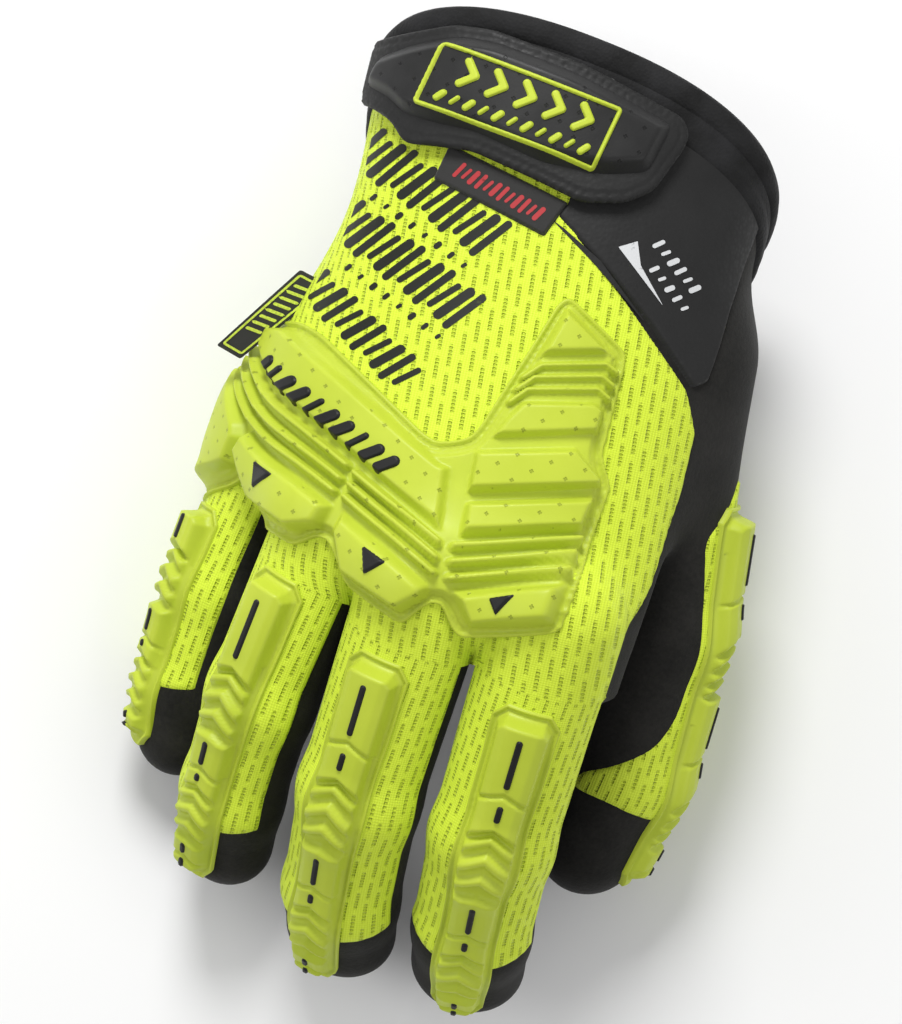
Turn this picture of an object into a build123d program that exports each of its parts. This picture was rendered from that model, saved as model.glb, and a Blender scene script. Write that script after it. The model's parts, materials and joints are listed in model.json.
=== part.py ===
"""A right-hand cut and impact resistant work glove, filled out as if worn, lying palm down.

Millimetres. +X points to the thumb side, +Y from the fingertips to the cuff, +Z up from the surface
that the glove lies on. The glove is modelled round a hand skeleton: four fingers with three segments
each, a thumb with three, and a palm that arches over so that the little finger lies on its side.
Every fabric piece is a shell round that skeleton, and the moulded guards sit on the shells.
"""

from build123d import *

import functools
import math
import os

# Materials, from the inside out
LINER_WALL = 0.7
LINER_GAP = 0.3
FABRIC_WALL = 1.2
SKIN_GAP = 0.15
FLANGE_HEIGHT = 1.4
KNUCKLE_BLOCK_HEIGHT = 5.0
FINGER_BLOCK_HEIGHT = 4.4
INLAY_HEIGHT = 0.7

# Joints: rest bends and ranges in degrees, plus is flexion
KNUCKLE_RANGE = (-12.0, 12.0)
MIDDLE_RANGE = (-16.0, 20.0)
TIP_SHARE = 0.6
THUMB_KNUCKLE_RANGE = (-14.0, 10.0)
THUMB_TIP_RANGE = (-14.0, 16.0)
JOINT_GAP = 0.35
PIVOT_SET_IN = 7.0
STRAP_HINGE = Vector(-43.5, 86.0, 33.0)
STRAP_HINGE_AXIS = Vector(0.0, -1.0, 0.0)
STRAP_RANGE = (0.0, 120.0)
SIDE_SEAM = 1.5
TIP_GUARD_SHARE = 0.62
TIP_BLOCK_HEIGHT = 3.6
THUMB_BLOCK_SPAN = (34.0, 62.0)

# Fingers: the root is the crotch, yaw, dip and pitch aim the first segment, roll turns the back from
# upright and lean does the same for the hinges, then rest bends, segment lengths, and the width and
# depth at the root and at the end
FINGERS = {
    "index": {
        "root": (26.6, -33.0, 62.0), "yaw": -6.5, "dip": 0.0, "roll": 3.0, "lean": 10.0, "pitch": 19.0,
        "bends": (20.0, 16.0), "lengths": (37.0, 30.0, 25.0),
        "start_size": (28.0, 25.5), "end_size": (25.5, 21.5),
    },
    "middle": {
        "root": (-3.0, -31.0, 57.5), "yaw": -9.5, "dip": 0.0, "roll": 20.0, "lean": 15.0, "pitch": 18.0,
        "bends": (20.0, 16.0), "lengths": (37.0, 30.0, 24.0),
        "start_size": (28.0, 25.5), "end_size": (25.5, 21.5),
    },
    "ring": {
        "root": (-27.0, -23.0, 44.5), "yaw": -15.5, "dip": 0.0, "roll": 42.0, "lean": 20.0, "pitch": 14.0,
        "bends": (15.0, 12.0), "lengths": (29.0, 26.0, 23.0),
        "start_size": (26.0, 24.0), "end_size": (23.5, 20.0),
    },
    "little": {
        "root": (-43.0, -7.0, 19.5), "yaw": -13.0, "dip": 0.0, "roll": 72.0, "lean": 30.0, "pitch": 5.0,
        "bends": (9.0, 8.0), "lengths": (24.0, 24.0, 20.0),
        "start_size": (23.5, 22.0), "end_size": (21.0, 19.0),
    },
}
THUMB = {
    "root": (43.5, 44.0, 35.0), "yaw": 9.0, "dip": 7.0, "roll": -86.0, "lean": -66.0, "pitch": 2.0,
    "bends": (8.0, 12.0), "lengths": (62.0, 34.0, 29.0),
    "start_size": (31.0, 30.0), "end_size": (24.5, 22.5),
}

# Hand sections at stations along Y: centre x and z, half width, half thickness, tilt, sag
HAND_STATIONS = {
    -52.0: (-17.0, 45.0, 53.0, 11.5, 32.0, 23.0),
    -12.0: (-12.0, 50.0, 54.0, 15.0, 29.0, 20.0),
    20.0: (-4.0, 44.5, 51.0, 21.0, 20.0, 12.0),
    58.0: (7.0, 35.0, 45.5, 26.5, 6.0, 3.0),
    122.0: (8.0, 28.5, 46.0, 27.0, 0.0, 0.0),
}
SECTION_POWER = 2.3
SECTION_STEPS = 12
ROOT_LINE_POINT = Vector(-2.4, -22.0, 45.0)
ROOT_LINE_NORMAL = Vector(-0.33, -0.944, 0.0)
STUB_SET_IN = 18.0

# Cuff: a point at the middle of its back edge, and the way that the opening faces
CUFF_POINT = Vector(-8.0, 109.0, 56.0)
CUFF_NORMAL = Vector(0.152, 1.0, -0.75).normalized()
BAND_LENGTH = 11.0
BAND_THICKNESS = 1.6
BINDING_LENGTH = 3.6
BINDING_THICKNESS = 1.5

# Outlines seen from above, as (x, y) points
KNUCKLE_FLANGE = [
    (-70, 22), (-54, 25), (-49, 31), (-43.5, 32), (-15, 16.2), (-8.7, 13.2), (-0.5, 16.2), (7, 35.5),
    (14.2, 52), (30, 42.5), (30.8, 18.6), (34.5, 13.4), (32, 1), (29, -23), (8, -28.2), (1.2, -20.5),
    (-5, -27.8), (-17, -23.8), (-21, -19.5), (-26.5, -12), (-33.5, -15.8), (-46, -10), (-49.5, -1.5),
    (-54, -6.5), (-70, -2.5),
]
KNUCKLE_BLOCKS = [
    [(-70, 18), (-56, 17.5), (-51, 5), (-57, -3), (-70, -1)],
    [(-51, 27), (-45, 29), (-15.5, 12.5), (-17, 6.5), (-45, 19)],
    [(-47.5, 16.5), (-27, 5.5), (-29, -9.5), (-34, -12.5), (-44, -8), (-47.5, 3)],
    [(-24.5, 5), (-5, 5.5), (-1.5, -16), (-6, -24.5), (-16, -20.5), (-24, -9)],
    [
        (2.5, 16), (10, 36), (15, 46), (26.5, 38.5), (27.5, 17), (29.5, 1), (26, -19.5), (9.5, -24.5),
        (2.5, -12),
    ],
]
KNUCKLE_INLAYS = [
    [(-62, 4.5), (-59.5, 7.5), (-57.5, 2)],
    [(-40, -3), (-36.5, 1.5), (-34.5, -4)],
    [(-15, -15), (-11, -11), (-9.5, -17)],
    [(11, -16), (18, -14.5), (15.5, -20)],
    [(-43, 25.5), (-41, 26.6), (-18.5, 14.6), (-19.5, 12.6)],
]
WEDGE_OUTLINE = [(11, 68), (46, 38), (58, 40), (60, 70), (47, 80), (33, 80), (20, 72)]
LOOP_OUTLINE = [(-6, 84), (-4, 100), (14, 100), (14, 84)]
STRAP_OUTLINE = [
    (-41, 84), (-40, 95), (-26, 104), (1, 104.5), (32, 93.5), (35, 89), (28, 79), (19, 71.5),
    (7, 71), (-8, 77), (-27, 76.5), (-32, 78),
]
PAD_OUTLINE = [
    (-37, 86), (-36, 93), (-25, 101.5), (1, 102), (28, 92), (31, 88), (25.5, 81), (18, 74.5),
    (8, 74), (-8, 80), (-26, 79.5), (-31, 81.5),
]
BADGE_OUTLINE = [(-25, 98.5), (19, 90), (14.5, 77.5), (-28, 84.5)]
HOOK_OUTLINE = [(-4, 86), (-2, 98), (12, 98), (12, 86)]
BACK_LABEL_OUTLINE = [(-18, 76), (-20.5, 69), (6.5, 60), (8.5, 67)]
SIDE_LABEL_OUTLINE = [(-41, 45), (-48, 46.5), (-62, 29.5), (-55.5, 27.5)]
SIDE_LABEL_HEIGHT = 33.0
SIDE_LABEL_THICKNESS = 1.4
SADDLE_OUTLINE = [(20, -14), (33, -22), (41, -10), (40, 20), (36, 36), (24, 36), (18, 12)]
PALM_PAD_OUTLINES = [
    [(-38, 4), (-30, -11), (6, -22), (14, -16), (12, -2), (-22, 10)],
    [(-36, 12), (-18, 14), (10, 2), (12, 24), (-10, 34), (-34, 30)],
    [(-30, 38), (-4, 40), (0, 56), (-22, 56)],
]

# Finger guards, along a segment's length from its start, in shares of it, with half widths
GUARD_HALF_WIDTH = {"index": 8.2, "middle": 8.0, "ring": 7.6, "little": 7.0, "thumb": 9.0}
GUARD_CHAMFER = 2.5
BLOCK_MARGIN = 1.8
INLAY_HALF_WIDTH = 1.2


def half_space(origin, normal, size=400.0):
    """A big block on the side of a plane that its normal points to."""
    return extrude(Plane(origin=origin, z_dir=normal) * Rectangle(size, size), size)


class Ray:
    """A finger's skeleton: three straight segments, the way out of its back, and its hinges' line."""

    def __init__(self, root, yaw, dip, roll, lean, pitch, bends, lengths, start_size, end_size):
        yaw, dip = math.radians(yaw), math.radians(dip)
        level = Vector(math.sin(yaw), -math.cos(yaw), 0)
        forward = level * math.cos(dip) - Vector(0, 0, math.sin(dip))
        up = level * math.sin(dip) + Vector(0, 0, math.cos(dip))
        line = Axis((0, 0, 0), forward)
        self.hinge = up.rotate(line, lean).cross(forward)
        up = up.rotate(line, roll)
        turn = Axis((0, 0, 0), self.hinge)
        self.starts, self.forwards, self.backs = [], [], []
        at, angle = Vector(*root), pitch
        for length, bend in zip(lengths, (*bends, 0.0)):
            self.starts.append(at)
            self.forwards.append(forward.rotate(turn, angle))
            self.backs.append(up.rotate(turn, angle))
            at = at + self.forwards[-1] * length
            angle += bend
        self.lengths = lengths
        self.start_size, self.end_size = start_size, end_size

    def size_at(self, index, along, grow=0.0):
        """Half width and half depth of the sleeve's outside, at a distance along a segment."""
        share = (sum(self.lengths[:index]) + along) / sum(self.lengths)
        return tuple((a + (b - a) * share) / 2 + grow for a, b in zip(self.start_size, self.end_size))

    def plane(self, index, along):
        """A section plane: local x across the finger, y out of its back, z along it."""
        forward = self.forwards[index]
        side = self.backs[index].cross(forward)
        return Plane(origin=self.starts[index] + forward * along, x_dir=side, z_dir=forward)

    def back_plane(self, index):
        """A plane through a segment: local x across the finger, y along it, z out of its back."""
        side = self.backs[index].cross(self.forwards[index])
        return Plane(origin=self.starts[index], x_dir=-side, z_dir=self.backs[index])

    def tube(self, index, first, last, grow=0.0):
        """The solid inside one segment's outside, from one distance along it to another."""
        ends = []
        for along in (first, last):
            ends.append(self.plane(index, along) * Ellipse(*self.size_at(index, along, grow)))
        return loft(ends)

    def thimble(self, first, grow=0.0):
        """The closed solid of the last segment's outside."""
        last = self.lengths[2] + grow
        ends = []
        for share, size in ((0.0, 1.0), (0.55, 0.98), (0.82, 0.84), (0.95, 0.6), (1.0, 0.3)):
            along = first + (last - first) * share
            x, y = self.size_at(2, along, grow)
            ends.append(self.plane(2, along) * Ellipse(x * size, y * size))
        return loft(ends)

    def pivot(self, number):
        """Where joint 0, 1 or 2 turns: just past the crotch, at the middle joint, at the last one."""
        return self.starts[number] + self.forwards[number] * (PIVOT_SET_IN if number == 0 else 0.0)

    def clearance(self, number, limits, nearer):
        """What is cut off one side of a joint, so that its two sides don't meet at the joint's limits."""
        along = (self.forwards[max(number - 1, 0)] + self.forwards[number]).normalized()
        low, high = (math.tan(math.radians(abs(a) / 2)) for a in limits)
        reach, width = 26.0, 21.0
        outline = [
            (JOINT_GAP, 0), (JOINT_GAP + reach * low, reach), (-reach, reach), (-reach, -reach),
            (JOINT_GAP + reach * high, -reach),
        ]
        section = Plane(origin=self.pivot(number), x_dir=along, z_dir=self.hinge)
        flip_y = 1 if section.y_dir.dot(self.backs[number]) > 0 else -1
        flip_x = -1 if nearer else 1
        outline = [(x * flip_x, y * flip_y) for x, y in outline]
        return extrude(section * make_face(Polyline(*outline, close=True)), width, both=True)


RAYS = {name: Ray(**sizes) for name, sizes in FINGERS.items()}
THUMB_RAY = Ray(**THUMB)
TIP_RANGE = tuple(TIP_SHARE * angle for angle in MIDDLE_RANGE)


def section_frame(y):
    """A hand section's centre, its direction across and its direction out of the back."""
    x, z, half_width, half_thickness, tilt, sag = HAND_STATIONS[y]
    tilt = math.radians(tilt)
    across = Vector(math.cos(tilt), 0, math.sin(tilt))
    return Vector(x, y, z), across, Vector(-across.Z, 0, across.X), half_width, half_thickness, sag


def hand_section(y, grow):
    """One closed hand section: arched, tilted, and thinner towards its edges."""
    centre, across, out, half_width, half_thickness, sag = section_frame(y)
    half_width += grow
    half_thickness += grow

    def point(angle, side):
        u = -math.cos(angle)
        bulge = (1 - abs(u) ** SECTION_POWER) ** (1 / SECTION_POWER)
        slope = across * half_width - out * (2 * sag * u)
        normal = Vector(-slope.Z, 0, slope.X).normalized()
        middle = centre + across * (half_width * u) - out * (sag * u * u)
        return middle + normal * (side * half_thickness * bulge)

    turns = [math.pi * k / SECTION_STEPS for k in range(SECTION_STEPS + 1)]
    back = Spline(*[point(a, 1) for a in turns])
    palm = Spline(*[point(a, -1) for a in reversed(turns)])
    return make_face([back, palm])


def dorsal_half():
    """Everything on the back's side of the hand's middle surface."""
    sections = []
    for y in sorted(HAND_STATIONS):
        centre, across, out, half_width, half_thickness, sag = section_frame(y)
        shares = (-1.5, -1, -0.5, 0, 0.5, 1, 1.5)
        middle = [centre + across * (half_width * u) - out * (sag * u * u) for u in shares]
        lift = Vector(0, 0, 110)
        bottom = Spline(*middle)
        sides = Polyline(middle[-1], middle[-1] + lift, middle[0] + lift, middle[0])
        sections.append(make_face([bottom, sides]))
    return loft(sections)


@functools.cache
def hand_solid(grow=0.0):
    """The hand's outside, open-ended past the cuff, with the finger roots and the thumb's base."""
    body = loft([hand_section(y, grow) for y in sorted(HAND_STATIONS)])
    body -= half_space(ROOT_LINE_POINT + ROOT_LINE_NORMAL * grow, ROOT_LINE_NORMAL)
    for ray in RAYS.values():
        body += ray.tube(0, -STUB_SET_IN, PIVOT_SET_IN + 6, grow) - ray.clearance(0, KNUCKLE_RANGE, True)
    thumb_base = THUMB_RAY.tube(0, 0, THUMB_RAY.lengths[0] + 4, grow)
    body += thumb_base - THUMB_RAY.clearance(1, THUMB_KNUCKLE_RANGE, True)
    return body


def prism(outline, low=-40.0, high=140.0):
    """An outline seen from above, as an upright block."""
    return extrude(Pos(0, 0, low) * make_face(Polyline(*outline, close=True)), high - low)


def layer(outer, inner):
    """A layer over the hand, between two distances out from the fabric's outside, up to the cuff's edge."""
    return (hand_solid(outer) - hand_solid(inner)) - half_space(CUFF_POINT, CUFF_NORMAL)


def on_back(outline, outer, inner):
    """A patch of a layer on the back of the hand, inside an outline seen from above."""
    return (hand_solid(outer) & prism(outline) & dorsal_half()) - hand_solid(inner)


def on_palm(outline, outer, inner):
    """A patch of a layer on the palm's side, inside an outline seen from above."""
    return ((hand_solid(outer) & prism(outline)) - dorsal_half()) - hand_solid(inner)


def hand_nodes():
    """The fabric, guards and patches that are fixed to the hand."""
    shell = layer(0.0, -FABRIC_WALL)
    back = dorsal_half()
    near_cuff = half_space(CUFF_POINT - CUFF_NORMAL * BAND_LENGTH, CUFF_NORMAL)
    edge = half_space(CUFF_POINT - CUFF_NORMAL * BINDING_LENGTH, CUFF_NORMAL)
    liner_outer = -FABRIC_WALL - LINER_GAP
    knuckle_guard = on_back(KNUCKLE_FLANGE, FLANGE_HEIGHT, SKIN_GAP)
    block_layer = (hand_solid(KNUCKLE_BLOCK_HEIGHT) & back) - hand_solid(SKIN_GAP)
    for outline in KNUCKLE_BLOCKS:
        knuckle_guard += block_layer & prism(outline)
    inlay_layer = (hand_solid(KNUCKLE_BLOCK_HEIGHT + INLAY_HEIGHT) & back) - hand_solid(KNUCKLE_BLOCK_HEIGHT)
    band = layer(BAND_THICKNESS, SKIN_GAP) & near_cuff - edge
    thumb_block = guard(THUMB_RAY, 0, *THUMB_BLOCK_SPAN, "thumb")
    thumb_block -= THUMB_RAY.clearance(1, THUMB_KNUCKLE_RANGE, True)
    return {
        "back_panel": shell & back,
        "palm_panel": shell - back,
        "cut_liner": layer(liner_outer, liner_outer - LINER_WALL) - edge,
        "knuckle_guard": knuckle_guard,
        "knuckle_inlays": Compound(
            [solid for outline in KNUCKLE_INLAYS for solid in (inlay_layer & prism(outline)).solids()]
        ),
        "cuff_band": band,
        "cuff_binding": layer(BINDING_THICKNESS, SKIN_GAP) & edge,
        "wrist_wedge": on_back(WEDGE_OUTLINE, 1.0, SKIN_GAP) - near_cuff,
        "loop_patch": on_back(LOOP_OUTLINE, BAND_THICKNESS + 1.0, BAND_THICKNESS + SKIN_GAP),
        "back_label": on_back(BACK_LABEL_OUTLINE, 1.2, SKIN_GAP),
        "side_label": prism(SIDE_LABEL_OUTLINE, SIDE_LABEL_HEIGHT, SIDE_LABEL_HEIGHT + SIDE_LABEL_THICKNESS)
        - hand_solid(SKIN_GAP),
        "thumb_saddle": on_palm(SADDLE_OUTLINE, 1.1, SKIN_GAP),
        "palm_pads": Compound(
            [solid for outline in PALM_PAD_OUTLINES for solid in on_palm(outline, 1.6, SKIN_GAP).solids()]
        ),
        "thumb_top_guard": thumb_block,
    }


def strap_nodes():
    """The closure strap, which peels open from its little-finger end."""
    base = BAND_THICKNESS + 1.8
    return {
        "strap_carrier": on_back(STRAP_OUTLINE, base + 1.2, base),
        "strap_pad": on_back(PAD_OUTLINE, base + 4.0, base + 1.35),
        "strap_badge": on_back(BADGE_OUTLINE, base + 5.4, base + 4.15),
        "hook_patch": on_back(HOOK_OUTLINE, base - 0.1, base - 0.6),
    }


def guard(ray, index, first, last, name, height=FINGER_BLOCK_HEIGHT):
    """A moulded guard on one segment: a thin flange with a raised block inside it."""
    half = GUARD_HALF_WIDTH[name]

    def outline(margin):
        wide, start, end = half - margin, first + margin, last - margin
        cut = GUARD_CHAMFER
        points = [
            (-wide + cut, start), (wide - cut, start), (wide, start + cut), (wide, end - cut),
            (wide - cut, end), (-wide + cut, end), (-wide, end - cut), (-wide, start + cut),
        ]
        flat = ray.back_plane(index) * make_face(Polyline(*points, close=True))
        return extrude(flat, 40)

    core = ray.tube(index, first - 5, last + 5, SKIN_GAP)
    flange = (ray.tube(index, first - 4, last + 4, FLANGE_HEIGHT) & outline(0.0)) - core
    block = (ray.tube(index, first - 4, last + 4, height) & outline(BLOCK_MARGIN)) - core
    return flange + block


def inlay(ray, index, first, last, height=FINGER_BLOCK_HEIGHT):
    """A thin bar let into the top of a guard."""
    middle = (first + last) / 2
    flat = ray.back_plane(index) * Pos(0, middle) * Rectangle(2 * INLAY_HALF_WIDTH, last - first)
    layer_top = ray.tube(index, first - 4, last + 4, height + INLAY_HEIGHT)
    return (layer_top & extrude(flat, 40)) - ray.tube(index, first - 5, last + 5, height)


def split_shell(shell, ray, index):
    """A sleeve's shell parted along its sides into the back's fabric and the palm's."""
    plane = ray.plane(index, 0)
    above = half_space(plane.origin + plane.y_dir * SIDE_SEAM, plane.y_dir)
    return shell & above, shell - above


def finger_nodes(name, ray):
    """One finger's pieces, from the knuckle to the tip."""
    base_length, middle_length, tip_length = ray.lengths
    knuckle = ray.clearance(0, KNUCKLE_RANGE, False)
    middle_near = ray.clearance(1, MIDDLE_RANGE, True)
    middle_far = ray.clearance(1, MIDDLE_RANGE, False)
    tip_near = ray.clearance(2, TIP_RANGE, True)
    tip_far = ray.clearance(2, TIP_RANGE, False)
    over = 8.0

    def sleeve(index, first, last):
        return ray.tube(index, first, last) - ray.tube(index, first - 1, last + 1, -FABRIC_WALL)

    base = sleeve(0, 0, base_length + over) - knuckle - middle_near
    middle = sleeve(1, -over, middle_length + over) - middle_far - tip_near
    tip = ray.thimble(-over) - ray.thimble(-over - 1, -FABRIC_WALL) - tip_far
    tip_guard = guard(ray, 2, -5, tip_length * TIP_GUARD_SHARE, name, TIP_BLOCK_HEIGHT)
    base_knit, base_palm = split_shell(base, ray, 0)
    middle_knit, middle_palm = split_shell(middle, ray, 1)
    return {
        f"{name}_base_knit": base_knit,
        f"{name}_base_palm": base_palm,
        f"{name}_base_guard": guard(ray, 0, PIVOT_SET_IN + 3, base_length + 5, name) - knuckle - middle_near,
        f"{name}_base_inlays": inlay(ray, 0, PIVOT_SET_IN + 8, base_length - 5),
        f"{name}_middle_knit": middle_knit,
        f"{name}_middle_palm": middle_palm,
        f"{name}_middle_guard": guard(ray, 1, -5, middle_length + 5, name) - middle_far - tip_near,
        f"{name}_tip_cap": tip,
        f"{name}_tip_guard": tip_guard - tip_far,
    }


def thumb_nodes():
    """The thumb's moving pieces, from its knuckle to its tip."""
    ray = THUMB_RAY
    knuckle = ray.clearance(1, THUMB_KNUCKLE_RANGE, False)
    near = ray.clearance(2, THUMB_TIP_RANGE, True)
    far = ray.clearance(2, THUMB_TIP_RANGE, False)
    base_length, tip_length = ray.lengths[1:]
    over = 8.0
    outer = ray.tube(1, -over, base_length + over)
    base = outer - ray.tube(1, -over - 1, base_length + over + 1, -FABRIC_WALL) - knuckle - near
    tip = ray.thimble(-over) - ray.thimble(-over - 1, -FABRIC_WALL) - far
    tip_guard = guard(ray, 2, -5, tip_length * TIP_GUARD_SHARE, "thumb", TIP_BLOCK_HEIGHT)
    base_knit, base_palm = split_shell(base, ray, 1)
    return {
        "thumb_base_knit": base_knit,
        "thumb_base_palm": base_palm,
        "thumb_base_guard": guard(ray, 1, -5, base_length + 5, "thumb") - knuckle - near,
        "thumb_tip_cap": tip,
        "thumb_tip_guard": tip_guard - far,
    }


def all_nodes():
    """Every node in hand coordinates."""
    nodes = hand_nodes() | strap_nodes()
    for name, ray in RAYS.items():
        nodes |= finger_nodes(name, ray)
    return nodes | thumb_nodes()


def shift_to_origin(nodes):
    """The move that puts the row's origin under the middle of the glove, on the surface it lies on."""
    boxes = [shape.bounding_box() for shape in nodes.values()]
    low = [min(getattr(box.min, axis) for box in boxes) for axis in "XYZ"]
    high = [max(getattr(box.max, axis) for box in boxes) for axis in "XYZ"]
    return Vector(-(low[0] + high[0]) / 2, -(low[1] + high[1]) / 2, -low[2])


def joints():
    """Each hinge as its name, parent, child, pivot, axis and range, in hand coordinates."""
    found = []
    for name, ray in RAYS.items():
        bodies = ("hand", f"{name}_base", f"{name}_middle", f"{name}_tip")
        for number, (word, limits) in enumerate(
            (("knuckle", KNUCKLE_RANGE), ("middle", MIDDLE_RANGE), ("tip", TIP_RANGE))
        ):
            parent, child = bodies[number : number + 2]
            found.append((f"{name}_{word}_joint", parent, child, ray.pivot(number), ray.hinge, limits))
    opening = -THUMB_RAY.hinge
    for number, (word, limits) in enumerate((("knuckle", THUMB_KNUCKLE_RANGE), ("tip", THUMB_TIP_RANGE)), 1):
        parent, child = ("hand", "thumb_base", "thumb_tip")[number - 1 : number + 1]
        limits = tuple(sorted(-angle for angle in limits))
        found.append((f"thumb_{word}_joint", parent, child, THUMB_RAY.pivot(number), opening, limits))
    found.append(("strap_peel", "hand", "strap", STRAP_HINGE, STRAP_HINGE_AXIS, STRAP_RANGE))
    return found


def main():
    nodes = all_nodes()
    move = Pos(*shift_to_origin(nodes))
    os.makedirs("parts", exist_ok=True)
    for name, shape in nodes.items():
        export_step(move * shape, f"parts/{name}.step")


if __name__ == "__main__":
    main()
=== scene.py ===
"""Looks of a cut and impact resistant work glove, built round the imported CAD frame."""

import json
import math

import bmesh
import bpy
import numpy as np
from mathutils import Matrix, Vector


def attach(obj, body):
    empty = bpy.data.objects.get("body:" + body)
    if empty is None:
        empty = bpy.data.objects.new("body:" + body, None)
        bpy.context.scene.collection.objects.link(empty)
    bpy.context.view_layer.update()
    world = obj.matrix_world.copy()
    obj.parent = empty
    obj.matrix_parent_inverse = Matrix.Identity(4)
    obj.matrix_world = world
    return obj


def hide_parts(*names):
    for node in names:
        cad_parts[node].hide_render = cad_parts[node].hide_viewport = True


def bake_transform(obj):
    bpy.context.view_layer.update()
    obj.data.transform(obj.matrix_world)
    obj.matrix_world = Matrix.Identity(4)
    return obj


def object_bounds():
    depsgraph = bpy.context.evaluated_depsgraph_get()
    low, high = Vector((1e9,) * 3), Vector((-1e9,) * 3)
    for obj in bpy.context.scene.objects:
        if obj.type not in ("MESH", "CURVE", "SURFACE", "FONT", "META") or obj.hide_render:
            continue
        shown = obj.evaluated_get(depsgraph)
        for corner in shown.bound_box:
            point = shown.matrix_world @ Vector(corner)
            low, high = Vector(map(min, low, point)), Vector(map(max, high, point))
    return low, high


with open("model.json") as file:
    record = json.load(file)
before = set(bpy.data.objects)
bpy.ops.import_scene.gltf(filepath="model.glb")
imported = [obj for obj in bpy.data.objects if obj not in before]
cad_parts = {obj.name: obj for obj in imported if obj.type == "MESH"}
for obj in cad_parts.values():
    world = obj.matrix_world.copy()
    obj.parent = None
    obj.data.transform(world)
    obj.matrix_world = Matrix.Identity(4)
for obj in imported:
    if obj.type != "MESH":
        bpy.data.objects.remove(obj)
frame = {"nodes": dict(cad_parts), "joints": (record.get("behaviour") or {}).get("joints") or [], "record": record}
cad_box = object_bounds()

MM = 0.001
JOINTS = {joint["name"]: joint for joint in frame["joints"]}


# ---------------------------------------------------------------- small vector tools, in millimetres


def vec(*numbers):
    return np.array(numbers, float)


def unit(v):
    return v / np.maximum(np.linalg.norm(v, axis=-1, keepdims=True), 1e-9)


def turned(v, axis, degrees):
    """v turned about an axis by the right-hand rule."""
    a, c, s = unit(axis), math.cos(math.radians(degrees)), math.sin(math.radians(degrees))
    return v * c + np.cross(a, v) * s + a * np.dot(a, v) * (1 - c)


def ramp(x, low, high):
    """A smooth step from 0 at low to 1 at high."""
    t = np.clip((x - low) / (high - low), 0, 1)
    return t * t * (3 - 2 * t)


def pivot(name):
    return np.array(JOINTS[name]["pos_m"]) / MM


def hinge(name):
    return np.array(JOINTS[name]["axis"])


# ---------------------------------------------------------------- the hand inside the glove

PIVOT_SET_IN = 7.0
# name: roll of the back from the hinge's, tip length, last bend, half widths and depths at root and end
DIGITS = {
    "index": (-7.0, 25.0, 16.0, (14.0, 12.75), (12.75, 10.75)),
    "middle": (5.0, 24.0, 16.0, (14.0, 12.75), (12.75, 10.75)),
    "ring": (22.0, 23.0, 12.0, (13.0, 12.0), (11.75, 10.0)),
    "little": (42.0, 20.0, 8.0, (11.75, 11.0), (10.5, 9.5)),
}
THUMB_BASE_LENGTH = 62.0
THUMB_BENDS = (8.0, 12.0)
THUMB_TIP_LENGTH = 29.0
THUMB_SIZES = ((15.5, 15.0), (12.25, 11.25))
SHELL_GROW = 0.2
JOINT_ROUNDING = 8.0
# A digit's last bone ends this share of its half depth before the tip, which is its cap
CAP_SHARE = 0.98
BONE_BLEND = 3.0
FINGER_BLEND = 7.0
THUMB_BLEND = 12.0


class Digit:
    """A finger or the thumb: a chain of straight bones with rounded bends, and frames along it.
    set_back is how far its body goes on into the hand, behind its first point."""

    set_back = 16.0

    def __init__(self, name, points, forwards, backs, sizes):
        self.name, self.points, self.forwards, self.backs = name, points, forwards, backs
        self.sides = [unit(np.cross(b, f)) for b, f in zip(backs, forwards)]
        self.lengths = [np.linalg.norm(b - a) for a, b in zip(points, points[1:])]
        self.starts = np.concatenate([[0], np.cumsum(self.lengths)])
        self.total = self.starts[-1]
        self.sizes = sizes
        self.cap_radius = sizes[1][1] * CAP_SHARE

    def size(self, along):
        share = np.clip(along / self.total, -0.3, 1)[..., None]
        return np.array(self.sizes[0]) * (1 - share) + np.array(self.sizes[1]) * share

    def frames(self, along):
        """Points and directions (forward, back, side) on the rounded chain at these distances along it."""
        along = np.asarray(along, float)
        at = self.points[0] + along[:, None] * self.forwards[0]
        forward = np.repeat(self.forwards[0][None], len(along), 0)
        back = np.repeat(self.backs[0][None], len(along), 0)
        for i, start in enumerate(self.starts[1:-1], 1):
            past = np.maximum(along - start, 0)[:, None]
            at = at + past * (self.forwards[i] - self.forwards[i - 1])
            near = np.clip(JOINT_ROUNDING - np.abs(along - start), 0, None)[:, None]
            at = at + near**2 / (4 * JOINT_ROUNDING) * (self.forwards[i] - self.forwards[i - 1])
            share = ramp(along, start - JOINT_ROUNDING, start + JOINT_ROUNDING)[:, None]
            forward = forward * (1 - share) + self.forwards[i] * share
            back = back * (1 - share) + self.backs[i] * share
        forward = unit(forward)
        side = unit(np.cross(back, forward))
        return at, forward, np.cross(forward, side), side

    def distance(self, p):
        """Signed distance from points to the sleeve's outside, roughly, in millimetres."""
        found = None
        for i, length in enumerate(self.lengths):
            offset = p - self.points[i]
            first = 0.0 if i else -self.set_back
            last = length - (self.cap_radius if i == len(self.lengths) - 1 else 0.0)
            t = np.clip(offset @ self.forwards[i], first, last)
            half = self.size(self.starts[i] + t)
            q = offset - t[..., None] * self.forwards[i]
            x, y, z = q @ self.sides[i], q @ self.backs[i], q @ self.forwards[i]
            scaled = np.sqrt((x / half[..., 0]) ** 2 + (y / half[..., 1]) ** 2 + (z / half.mean(-1)) ** 2)
            d = np.sqrt(x * x + y * y + z * z) * (1 - 1 / np.maximum(scaled, 1e-6))
            found = d if found is None else smooth_min(found, d, BONE_BLEND)
        return found


def smooth_min(a, b, k):
    h = np.clip(0.5 + 0.5 * (b - a) / k, 0, 1)
    return b * (1 - h) + a * h - k * h * (1 - h)


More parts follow.
